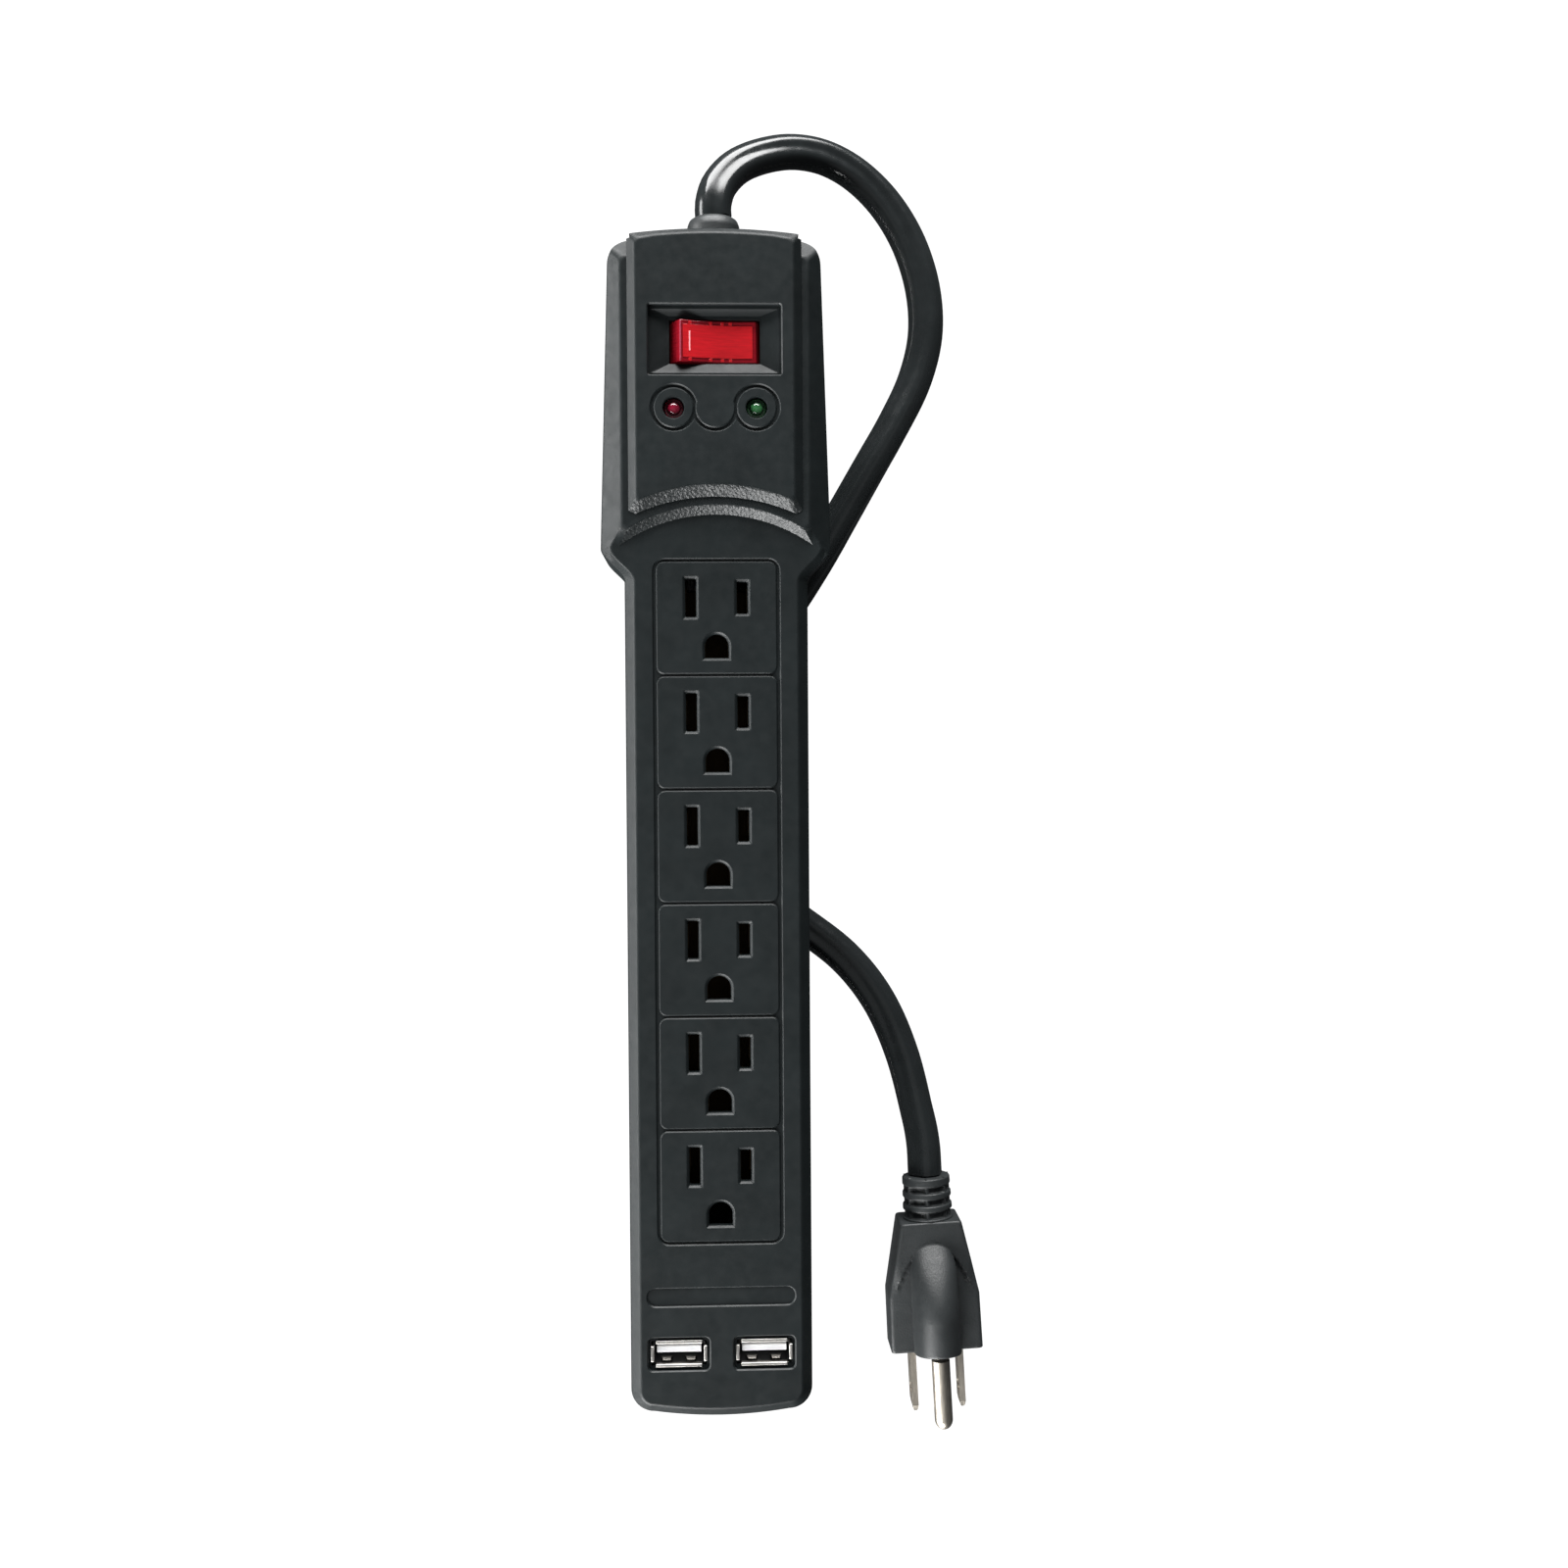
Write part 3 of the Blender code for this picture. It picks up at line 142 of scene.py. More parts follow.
class Finish:
    """A Principled material that is built up node by node on the object's own coordinates."""

    def __init__(self, name, colour, roughness, metallic=0.0):
        self.material = bpy.data.materials.new(name)
        self.material.use_nodes = True
        self.tree = self.material.node_tree
        self.shader = self.tree.nodes["Principled BSDF"]
        self.colour = colour
        self.set("Base Color", (*colour, 1.0))
        self.set("Roughness", roughness)
        self.set("Metallic", metallic)
        self.place = self.tree.nodes.new("ShaderNodeTexCoord").outputs["Object"]
        self.height = None

    def set(self, socket, value):
        self.shader.inputs[socket].default_value = value
        return self

    def noise(self, scale, detail=2.0):
        node = self.tree.nodes.new("ShaderNodeTexNoise")
        node.inputs["Scale"].default_value = scale
        node.inputs["Detail"].default_value = detail
        self.tree.links.new(self.place, node.inputs["Vector"])
        return node.outputs["Fac"]

    def stretched(self, scales, detail=2.0):
        """Noise drawn out along an axis, as brushing and moulding lines are."""
        mapping = self.tree.nodes.new("ShaderNodeMapping")
        mapping.inputs["Scale"].default_value = scales
        self.tree.links.new(self.place, mapping.inputs["Vector"])
        node = self.tree.nodes.new("ShaderNodeTexNoise")
        node.inputs["Scale"].default_value = 1.0
        node.inputs["Detail"].default_value = detail
        self.tree.links.new(mapping.outputs["Vector"], node.inputs["Vector"])
        return node.outputs["Fac"]

    def spread(self, fac, low, high):
        """The factor mapped to values from low to high."""
        node = self.tree.nodes.new("ShaderNodeMapRange")
        node.inputs["From Min"].default_value = 0.3
        node.inputs["From Max"].default_value = 0.7
        node.inputs["To Min"].default_value = low
        node.inputs["To Max"].default_value = high
        self.tree.links.new(fac, node.inputs["Value"])
        return node.outputs["Result"]

    def tinted(self, fac, darker, lighter):
        """Colour that drifts between a darker and a lighter shade of the base."""
        ramp = self.tree.nodes.new("ShaderNodeValToRGB")
        ramp.color_ramp.elements[0].position = 0.35
        ramp.color_ramp.elements[1].position = 0.65
        ramp.color_ramp.elements[0].color = (*(c * darker for c in self.colour), 1.0)
        ramp.color_ramp.elements[1].color = (*(c * lighter for c in self.colour), 1.0)
        self.tree.links.new(fac, ramp.inputs["Fac"])
        self.tree.links.new(ramp.outputs["Color"], self.shader.inputs["Base Color"])
        return self

    def worn(self, fac, low, high):
        self.tree.links.new(self.spread(fac, low, high), self.shader.inputs["Roughness"])
        return self

    def bump(self, fac, depth, strength=1.0):
        node = self.tree.nodes.new("ShaderNodeBump")
        node.inputs["Strength"].default_value = strength
        node.inputs["Distance"].default_value = depth
        self.tree.links.new(fac, node.inputs["Height"])
        if self.height:
            self.tree.links.new(self.height, node.inputs["Normal"])
        self.height = node.outputs["Normal"]
        self.tree.links.new(self.height, self.shader.inputs["Normal"])
        return self


def plastic(name, colour, roughness, grain, depth):
    """Moulded plastic: fine grain, slow drift in shade and small changes in gloss."""
    made = Finish(name, colour, roughness)
    made.tinted(made.noise(90.0, 4.0), 0.88, 1.12)
    made.worn(made.noise(420.0, 3.0), roughness - 0.05, roughness + 0.05)
    made.bump(made.noise(grain, 2.0), depth)
    return made


def metal(name, colour, roughness, along=(9000.0, 400.0, 9000.0)):
    made = Finish(name, colour, roughness, 1.0)
    made.tinted(made.noise(300.0, 3.0), 0.93, 1.05)
    made.worn(made.stretched(along), roughness - 0.05, roughness + 0.08)
    made.bump(made.stretched(along), 0.0006 * MM)
    return made


def cover_finish():
    made = plastic("cover_plastic", (0.0080, 0.0106, 0.0112), 0.44, 5200.0, 0.008 * MM)
    return made.set("Specular IOR Level", 0.26)


def grained_finish():
    """The arched bevels, which are spark-eroded to a coarse sparkle."""
    made = plastic("cover_grained", (0.0160, 0.0185, 0.0190), 0.40, 3400.0, 0.05 * MM)
    made.bump(made.noise(1450.0, 1.0), 0.24 * MM)
    return made.set("Specular IOR Level", 0.36)


def cord_finish():
    made = plastic("cord_jacket", (0.0150, 0.0175, 0.0182), 0.20, 900.0, 0.001 * MM)
    return made.set("Specular IOR Level", 0.55)


def plug_finish():
    return plastic("plug_rubber", (0.022, 0.025, 0.026), 0.48, 1900.0, 0.05 * MM)


def red_finish(name, colour, glow, roughness):
    """Clear coloured plastic over a dim light."""
    made = Finish(name, colour, roughness)
    made.tinted(made.stretched((300.0, 2600.0, 300.0)), 0.86, 1.1)
    made.bump(made.stretched((200.0, 3200.0, 200.0), 1.0), 0.02 * MM)
    made.set("Emission Color", (*colour, 1.0))
    made.set("Emission Strength", glow)
    made.set("Coat Weight", 0.5)
    return made.set("Coat Roughness", 0.12)


def lens_finish(name, colour):
    made = Finish(name, colour, 0.12)
    made.tinted(made.noise(700.0), 0.9, 1.1)
    made.bump(made.noise(900.0), 0.003 * MM)
    made.set("Transmission Weight", 0.45)
    made.set("Coat Weight", 0.9)
    made.set("Coat Roughness", 0.04)
    return made.set("IOR", 1.5)


def tongue_painted_glow_finish():
    """White nylon with a painted glow, which stands in for light from the port's open side."""
    made = plastic("tongue_white", (0.80, 0.81, 0.82), 0.38, 3000.0, 0.006 * MM)
    # Painted glow: emission that keeps the tongue bright in place of light falling on it.
    made.set("Emission Color", (1.0, 1.0, 1.0, 1.0))
    return made.set("Emission Strength", 0.15)


def finishes():
    made = {
        "cover_black": cover_finish(),
        "cover_grained": grained_finish(),
        "cord_black": cord_finish(),
        "plug_black": plug_finish(),
        "rocker_field": red_finish("rocker_field", (0.42, 0.006, 0.011), 0.22, 0.30),
        "rocker_red": red_finish("rocker_clear_red", (0.20, 0.004, 0.010), 0.10, 0.16),
        # Lighter, glowing red on the ridge: a painted highlight along the bevel of the raised end.
        "rocker_ridge": red_finish("rocker_ridge", (0.34, 0.05, 0.08), 0.12, 0.25),
        "rocker_mark": red_finish("rocker_mark", (0.85, 0.30, 0.32), 0.5, 0.25),
        "lamp_red": lens_finish("lamp_red", (0.28, 0.010, 0.035)),
        "lamp_green": lens_finish("lamp_green", (0.045, 0.19, 0.065)),
        "lamp_cup": metal("lamp_cup", (0.85, 0.82, 0.80), 0.3),
        "nickel": metal("nickel", (0.72, 0.70, 0.66), 0.32),
        "blade_nickel": metal("blade_nickel", (0.64, 0.59, 0.51), 0.36, (4000.0, 300.0, 4000.0)),
        # Brass contacts, darkened to near black as painted shade deep inside the socket slots.
        "brass": metal("brass", (0.08, 0.055, 0.03), 0.45),
        # The port's can is nickel, coloured near black as painted shade inside the port.
        "can_nickel": metal("can_nickel", (0.05, 0.05, 0.05), 0.40),
        "spring_nickel": metal("spring_nickel", (0.42, 0.40, 0.37), 0.30),
        "screw_steel": metal("screw_steel", (0.55, 0.55, 0.56), 0.32, (2500.0, 2500.0, 400.0)),
        "board_green": plastic("board", (0.02, 0.14, 0.06), 0.45, 2500.0, 0.01 * MM),
        "tongue_white": tongue_painted_glow_finish(),
        "housing_grey": plastic("housing_grey", (0.06, 0.06, 0.065), 0.50, 3500.0, 0.01 * MM),
        "disc_blue": plastic("disc_blue", (0.03, 0.10, 0.35), 0.35, 1200.0, 0.02 * MM),
        "tape_yellow": plastic("tape_yellow", (0.70, 0.52, 0.10), 0.40, 800.0, 0.01 * MM),
        "wire_white": plastic("wire_white", (0.75, 0.75, 0.73), 0.42, 1500.0, 0.01 * MM),
        "wire_green": plastic("wire_green", (0.03, 0.25, 0.06), 0.42, 1500.0, 0.01 * MM),
        "wire_black": plastic("wire_black", (0.02, 0.02, 0.02), 0.42, 1500.0, 0.01 * MM),
    }
    return {name: finish.material for name, finish in made.items()}


FINISHES = finishes()


# ---------------------------------------------------------------- shapes

def loft(rings):
    """Points and faces of a closed shape through rings with the same number of points."""
    points = [point for ring in rings for point in ring]
    count = len(rings[0])
    faces = [tuple(reversed(range(count))), tuple(range(len(points) - count, len(points)))]
    for level in range(len(rings) - 1):
        for k in range(count):
            a = level * count + k
            b = level * count + (k + 1) % count
            faces.append((a, b, b + count, a + count))
    return points, faces


def merged(shapes):
    points, faces = [], []
    for more, their in shapes:
        faces += [tuple(len(points) + k for k in face) for face in their]
        points += more
    return points, faces


def placed(shape, matrix):
    return [tuple(matrix @ Vector(p)) for p in shape[0]], shape[1]


def at(outline, z):
    return [(x, y, z) for x, y in outline]


def circle(x, y, radius, sides):
    turns = [2 * math.pi * k / sides for k in range(sides)]
    return [(x + radius * math.cos(a), y + radius * math.sin(a)) for a in turns]


def rounded(x, y, half_x, half_y, radius, steps=6):
    """A rectangle with round corners, anticlockwise."""
    outline = []
    for quarter, (sx, sy) in enumerate(((1, 1), (-1, 1), (-1, -1), (1, -1))):
        for k in range(steps + 1):
            angle = math.pi / 2 * (quarter + k / steps)
            outline.append((x + sx * (half_x - radius) + radius * math.cos(angle),
                            y + sy * (half_y - radius) + radius * math.sin(angle)))
    return outline


def prism(outline, low, high):
    return loft([at(outline, low), at(outline, high)])


def block(x, y, half_x, half_y, low, high):
    return prism([(x - half_x, y - half_y), (x + half_x, y - half_y), (x + half_x, y + half_y),
                  (x - half_x, y + half_y)], low, high)


def turned(profile, sides, place=Matrix.Identity(4)):
    """A shape turned about Z from (radius, height) pairs that run upwards."""
    return placed(loft([at(circle(0, 0, r, sides), z) for r, z in profile]), place)


def eased(profile, reach, steps=4):
    """The profile with each inner corner rounded off over the given reach."""
    made = [profile[0]]
    for before, here, after in zip(profile, profile[1:], profile[2:]):
        b, h, a = Vector(before), Vector(here), Vector(after)
        back = min(reach, (b - h).length * 0.45)
        on = min(reach, (a - h).length * 0.45)
        start, end = h + (b - h).normalized() * back, h + (a - h).normalized() * on
        for k in range(steps + 1):
            t = k / steps
            made.append(tuple(start * (1 - t) ** 2 + h * 2 * t * (1 - t) + end * t * t))
    made.append(profile[-1])
    return made


def lip_rings(top):
    """(growth, height) pairs that bevel the edge of a hole whose rim is at top."""
    return [(0.0, top - LIP), (LIP, top), (LIP + 0.08 * MM, top + 0.08 * MM), (LIP + 0.08 * MM, top + MM)]


def widening(outline_at, low, top):
    """A cutter that leaves a rounded rim: outline_at gives its outline, grown by so much."""
    rings = [(0.0, low)] + lip_rings(top)
    return loft([at(outline_at(grow), z) for grow, z in rings])


def narrowing(outline_at, low, top):
    """The raised land inside a groove, with a rounded rim."""
    rings = [(0.0, low)] + [(-grow, z) for grow, z in lip_rings(top)[:2]]
    rings.append((rings[-1][0], top + 2 * MM))
    return loft([at(outline_at(grow), z) for grow, z in rings])


# ---------------------------------------------------------------- objects

def mesh_object(name, shape):
    """An object with its faces turned outwards."""
    mesh = bpy.data.meshes.new(name)
    mesh.from_pydata(shape[0], [], shape[1])
    work = bmesh.new()
    work.from_mesh(mesh)
    bmesh.ops.recalc_face_normals(work, faces=work.faces)
    work.to_mesh(mesh)
    work.free()
    obj = bpy.data.objects.new(name, mesh)
    bpy.context.scene.collection.objects.link(obj)
    return obj


def combine(obj, operation, shape):
    """Cuts a shape from the object, or joins it on. The shape is points and faces, or a helper object."""
    other = shape if isinstance(shape, bpy.types.Object) else mesh_object(obj.name + "_tool", shape)
    other.hide_render = True
    modifier = obj.modifiers.new(operation, "BOOLEAN")
    modifier.operation = operation
    modifier.object = other
    modifier.solver = "EXACT"


def cut(obj, *shapes):
    for shape in shapes:
        combine(obj, "DIFFERENCE", shape)


def join(obj, *shapes):
    for shape in shapes:
        combine(obj, "UNION", shape)


def settle(obj):
    """Makes the modifiers' result the object's own mesh."""
    graph = bpy.context.evaluated_depsgraph_get()
    mesh = bpy.data.meshes.new_from_object(obj.evaluated_get(graph))
    obj.modifiers.clear()
    obj.data = mesh
    return obj


def clear_tools():
    """Removes the helper shapes of the cuts, which are already in the pieces' own meshes."""
    kept = set(frame["nodes"].values())
    used = ("above", "channel", "moat")
    for obj in [o for o in bpy.data.objects if o.name.endswith("_tool") or o.name in used]:
        if obj not in kept:
            bpy.data.objects.remove(obj, do_unlink=True)


def shade(obj, angle=32.0):
    """Smooth shading between faces that nearly line up, with wide faces kept flat."""
    obj.data.shade_smooth()
    obj.data.set_sharp_from_angle(angle=math.radians(angle))
    modifier = obj.modifiers.new("Normals", "WEIGHTED_NORMAL")
    modifier.keep_sharp = True
    modifier.weight = 80
    return settle(obj)


def soften(obj, width, segments=3, angle=30.0):
    modifier = obj.modifiers.new("Bevel", "BEVEL")
    modifier.width = width
    modifier.segments = segments
    modifier.limit_method = "ANGLE"
    modifier.angle_limit = math.radians(angle)
    return settle(obj)


def finish(obj, look, body="housing", slot=None, replaces=()):
    """Gives the piece its material, its body, and the CAD nodes that it stands for."""
    obj.data.materials.clear()
    obj.data.materials.append(FINISHES[look])
    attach(obj, body)
    if replaces:
        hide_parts(*replaces)
    return obj


# ---------------------------------------------------------------- outline of the strip

def side_x(y):
    if y <= SHOULDER_LOW_Y:
        return BODY_HALF
    if y < SHOULDER_HIGH_Y:
        t = (y - SHOULDER_LOW_Y) / (SHOULDER_HIGH_Y - SHOULDER_LOW_Y)
        return BODY_HALF + (HEAD_HALF_LOW - BODY_HALF) * t * t * (3 - 2 * t)
    t = (y - SHOULDER_HIGH_Y) / (WING_END_Y - SHOULDER_HIGH_Y)
    return HEAD_HALF_LOW + (HEAD_HALF_HIGH - HEAD_HALF_LOW) * t


def end_y(x, half):
    return HALF_LENGTH - END_BOW * (x / half) ** 2


def arc(x, y, radius, start, turn, steps):
    angles = [start + turn * k / steps for k in range(steps + 1)]
    return [(x + radius * math.cos(a), y + radius * math.sin(a)) for a in angles]


def foot_half(inset):
    """The right half of the outline at the USB end, from the middle to the top of its corner."""
    half = BODY_HALF - FOOT_CORNER
    radius = FOOT_CORNER - inset
    points = [(half * k / 6, -end_y(half * k / 6, half) + inset) for k in range(6)]
    return points + arc(half, -end_y(half, half) + inset + radius, radius, -math.pi / 2, math.pi / 2, 14)


def shoulder(inset):
    ys = [SHOULDER_LOW_Y + (SHOULDER_HIGH_Y - SHOULDER_LOW_Y) * k / 20 for k in range(21)]
    return [(side_x(y) - inset, y) for y in ys]


def head_half():
    """The right half of the outline at the head end, from the deck's end to the middle of the nose."""
    rise = [(side_x(y * MM), y * MM) for y in (70.5, 72.0, 74.0, 76.0)]
    wing = arc(HEAD_HALF_HIGH - WING_CORNER, WING_END_Y - WING_CORNER, WING_CORNER, 0, math.radians(82), 10)
    nose = [(NOSE_HALF * k / 10, end_y(NOSE_HALF * k / 10, NOSE_HALF)) for k in range(10, -1, -1)]
    return [*rise, *wing, (NOSE_HALF, WING_END_Y), *nose]


def both_sides(right):
    return right + [(-x, y) for x, y in reversed(right[1:-1])]


def strip_outline():
    return both_sides(foot_half(0) + shoulder(0) + head_half())


def inward(outline):
    """The direction into the strip at each point, with mitred corners."""
    found = []
    count = len(outline)
    for k in range(count):
        back = (Vector(outline[k]) - Vector(outline[k - 1])).normalized()
        on = (Vector(outline[(k + 1) % count]) - Vector(outline[k])).normalized()
        normal = Vector((-back.y - on.y, back.x + on.x)).normalized()
        found.append(normal / max(0.6, -back.y * normal.x + back.x * normal.y))
    return found


def rim_height(x, y):
    """Height at which the outer wall turns into the bevel above it, and that bevel's slope."""
    x = abs(x)
    half, _, _, end = LEDGE_EDGE
    slope = 1 / LEDGE_SPREAD[0]
    block_rim = LEDGE_Z - slope * max(x - half, y - end)
    if y <= SHOULDER_HIGH_Y:
        return DECK_Z - CHAMFER, 1.0
    if y < 74 * MM:
        share = (y - SHOULDER_HIGH_Y) / (74 * MM - SHOULDER_HIGH_Y)
        return DECK_Z - CHAMFER + (block_rim - DECK_Z + CHAMFER) * share, 1.0
    if y > WING_END_Y + 0.1 * MM:
        return PANEL_Z - (HALF_LENGTH - PANEL_EDGE[3]), 1.0
    return block_rim, slope


def arch(half, middle_y, radius, steps=28):
    xs = [half - 2 * half * k / steps for k in range(steps + 1)]
    return [(x, middle_y - radius + math.sqrt(radius ** 2 - x ** 2)) for x in xs]


def deck_ring(inset, z):
    right = foot_half(inset) + shoulder(inset)
    half = 24 * MM + CHAMFER - inset
    right += [(half, 75 * MM), (half, 95 * MM)]
    return at(right + [(-x, y) for x, y in reversed(right[1:])], z)


def head_ring(edge, spread, radius, drop, z, inset=0.0):
    """The outline at one height of a step of the head, drop below its top edge and drawn in by inset."""
    half, inner, arch_y, end = (e + s * drop for e, s in zip(edge, spread))
    half, inner, arch_y, end = half - inset, inner - inset * 0.7, arch_y + inset, end - inset
    sweep = arch(inner, arch_y, radius)
    turn = 1.6 * MM
    right = [(half, sweep[0][1] + CUT_CORNER)]
    right += arc(half - turn, end - END_BOW - turn, turn, 0, math.pi / 2, 6)
    nose = [(half * k / 8, end - END_BOW * (k / 8) ** 2) for k in range(6, -1, -1)]
    rest = right + nose
    return at(list(reversed(sweep)) + rest + [(-x, y) for x, y in reversed(rest[:-1])], z)


def head_step(edge, spread, radius, top, low):
    """One step of the head, with a rounded top edge."""
    drop = top - low
    rings = [head_ring(edge, spread, radius, drop, low)]
    for k in range(6):
        t = k / 5
        sink = EDGE * (1 - t) ** 2
        rings.append(head_ring(edge, spread, radius, sink, top - sink, EDGE * t * t))
    return rings


# ---------------------------------------------------------------- top cover

def cover_body():
    """The block that the top cover is cut from, with its outer edge already rounded."""
    outline = strip_outline()
    into = inward(outline)
    rims = [rim_height(x, y) for x, y in outline]

    def ring(inset_at, height_at):
        made = []
        for (x, y), way, (rim, slope) in zip(outline, into, rims):
            inset = inset_at(slope)
            made.append((x + way.x * inset, y + way.y * inset, height_at(rim, slope)))
        return made

    low = SPLIT_Z + SPLIT_GAP
    soft = 0.25 * MM  # how far the joint's edge is rounded
    rings = [ring(lambda s, k=k: soft * (1 - k / 3) ** 2, lambda rim, s, k=k: low + soft * (k / 3) ** 2)
             for k in range(4)]
    for k in range(6):
        t = k / 5
        rings.append(ring(lambda s: EDGE * t * t / math.hypot(1, s),
                          lambda rim, s: rim - EDGE * (1 - t) ** 2 + EDGE * t * t * s / math.hypot(1, s)))
    rings.append(ring(lambda s: EDGE / math.hypot(1, s) - 0.01 * MM, lambda rim, s: 18 * MM))
    return loft(rings)


def above_the_cover():
    """Everything that is cut away above the deck, the head block and the raised panel."""
    low = 7 * MM
    away = mesh_object("above", block(0, 0, 60 * MM, 170 * MM, low, 25 * MM))
    deck = [deck_ring(CHAMFER - (DECK_Z - low), low)]
    for k in range(6):
        t = k / 5
        sink = EDGE * (1 - t) ** 2
        deck.append(deck_ring(CHAMFER - sink + EDGE * t * t, DECK_Z - sink))
    half, inner, arch_y, _ = (e + s * (PANEL_Z - LEDGE_Z) for e, s in zip(PANEL_EDGE, PANEL_SPREAD))
    dip_edge = (half, inner, arch_y, LEDGE_DIP_END)
    dip = head_ring(dip_edge, (0, 0, 0, 0), PANEL_ARCH_RADIUS, 0, LEDGE_Z - LEDGE_DIP)
    ledge = head_step(LEDGE_EDGE, LEDGE_SPREAD, LEDGE_ARCH_RADIUS, LEDGE_Z, low) + [dip]
    panel = head_step(PANEL_EDGE, PANEL_SPREAD, PANEL_ARCH_RADIUS, PANEL_Z, LEDGE_Z)
    foot = head_ring(PANEL_EDGE, PANEL_SPREAD, PANEL_ARCH_RADIUS, PANEL_Z - LEDGE_Z, low - MM)
    cut(away, loft(deck), loft(ledge), loft([foot, *panel]))
    return away


def ground_outline(y, grow):
    half = 2.9 * MM + grow
    return [(-half, y - half), (half, y - half)] + arc(0, y, half, 0, math.pi, 18)


def flared(outline_at):
    """A contact hole with a wide bevel whose edges are softened."""
    profile = eased([(0.0, 7 * MM), (0.0, 12.35 * MM), (0.65 * MM, DECK_Z), (1.6 * MM, DECK_Z)], 0.22 * MM)
    rings = [(grow, z) for grow, z in profile if grow < 1.0 * MM]
    rings += [(rings[-1][0] + 0.05 * MM, DECK_Z + 0.05 * MM), (rings[-1][0] + 0.05 * MM, DECK_Z + MM)]
    return loft([at(outline_at(grow), z) for grow, z in rings])


def socket_holes():
    shapes = []
    for y in SLOT_YS:
        for side, length in ((-1, 9.4 * MM), (1, 7.8 * MM)):
            def slot(grow, side=side, length=length, y=y):
                return rounded(side * SLOT_X, y, 1.3 * MM + grow, length / 2 + grow, 0.35 * MM, 2)
            shapes.append(flared(slot))
        shapes.append(flared(lambda grow, y=y: ground_outline(y - GROUND_DROP, grow)))
    return merged(shapes)


def frame_channel():
    """The shallow groove round and between the six outlet plates."""
    ys = [y - PLATE_DROP for y in SLOT_YS]
    middle = (ys[0] + ys[-1]) / 2
    reach = (ys[0] - ys[-1]) / 2 + PLATE_HALF_Y + 1.2 * MM

    def outer(grow):
        return rounded(0, middle, PLATE_HALF_X + 1.2 * MM - LIP + grow, reach - LIP + grow, 2.8 * MM + grow)

    channel = mesh_object("channel", widening(outer, DECK_Z - 0.5 * MM, DECK_Z))
    lands = []
    for y in ys:
        def plate(grow, y=y):
            return rounded(0, y, PLATE_HALF_X + LIP + grow, PLATE_HALF_Y + LIP + grow, 2.0 * MM + grow)
        lands.append(narrowing(plate, DECK_Z - 1.5 * MM, DECK_Z))
    cut(channel, merged(lands))
    return channel


def lamp_moat():
    """A groove round each lamp, and a half ring between that joins the two."""
    low = PANEL_Z - 0.6 * MM

    def ring(x):
        return lambda grow: circle(x, LAMP_Y, 5.9 * MM - LIP + grow, 64)

    def lower_half(grow):
        radius = 5.9 * MM - LIP + grow
        return arc(0, LAMP_Y, radius, math.pi, math.pi, 32)

    moat = mesh_object("moat", widening(ring(-LAMP_X), low, PANEL_Z))
    join(moat, widening(ring(LAMP_X), low, PANEL_Z))
    join(moat, placed(widening(lower_half, low, PANEL_Z), Matrix.Translation((0, 0, 0.002 * MM))))
    for x in (-LAMP_X, 0, LAMP_X):
        def island(grow, x=x):
            return circle(x, LAMP_Y, 4.6 * MM + LIP + grow, 64)
        cut(moat, narrowing(island, low - MM, PANEL_Z))
    return moat


def switch_recess():
    """Sloping sides below a small upright step, and the opening in its floor."""
    step = PANEL_Z - 2.0 * MM
    foot = rounded(0, SWITCH_Y + RECESS_SHIFT, 11.5 * MM, 5.82 * MM, 0.3 * MM)
    rings = [(15.6, 7.7, 0.4, step - 0.05 * MM), (15.75, 7.85, 0.4, step), (16.2, 8.5, 0.5, step)]
    shape = [at(foot, RECESS_FLOOR_Z)]
    shape += [at(rounded(0, SWITCH_Y, x * MM, y * MM, r * MM), z) for x, y, r, z in rings]
    for grow, z in lip_rings(PANEL_Z):
        shape.append(at(rounded(0, SWITCH_Y, 16.2 * MM + grow, 8.5 * MM + grow, 0.5 * MM + grow), z))
    return loft(shape)


def lamp_holes():
    profile = [(2.6 * MM, 8 * MM), (2.6 * MM, PANEL_Z - 0.3 * MM), (2.7 * MM, PANEL_Z - 0.1 * MM),
               (2.95 * MM, PANEL_Z), (3.0 * MM, PANEL_Z + 0.05 * MM), (3.0 * MM, PANEL_Z + MM)]
    return merged([turned(profile, 48, Matrix.Translation((side * LAMP_X, LAMP_Y, 0))) for side in (-1, 1)])


def usb_windows():
    shapes = []
    ledge = DECK_Z - 1.1 * MM
    for side in (-1, 1):
        mouth = rounded(side * USB_X, USB_Y, 6.85 * MM, 3.15 * MM, 0.3 * MM)
        rings = [at(mouth, z) for z in (7 * MM, ledge)]
        rings.append(at(rounded(side * USB_X, USB_Y, 7.6 * MM, 4.1 * MM, 1.2 * MM), ledge))
        for grow, z in lip_rings(DECK_Z):
            outline = rounded(side * USB_X, USB_Y, 7.6 * MM + grow, 4.1 * MM + grow, 1.2 * MM + grow)
            rings.append(at(outline, z))
        shapes.append(loft(rings))
    return merged(shapes)


def hollow():
    """The space inside the top cover."""
    ceiling = 8.2 * MM
    outline = strip_outline()
    inner = [(x + way.x * WALL, y + way.y * WALL) for (x, y), way in zip(outline, inward(outline))]
    low = ceiling - 0.1 * MM
    return [prism(inner, SPLIT_Z - 2 * MM, ceiling), block(0, -34 * MM, 18 * MM, 106 * MM, low, 10.6 * MM),
            block(0, 97.9 * MM, 17.6 * MM, 11.9 * MM, low, 14.2 * MM),
            block(0, 119.4 * MM, 13.4 * MM, 10.4 * MM, low, 11.8 * MM)]


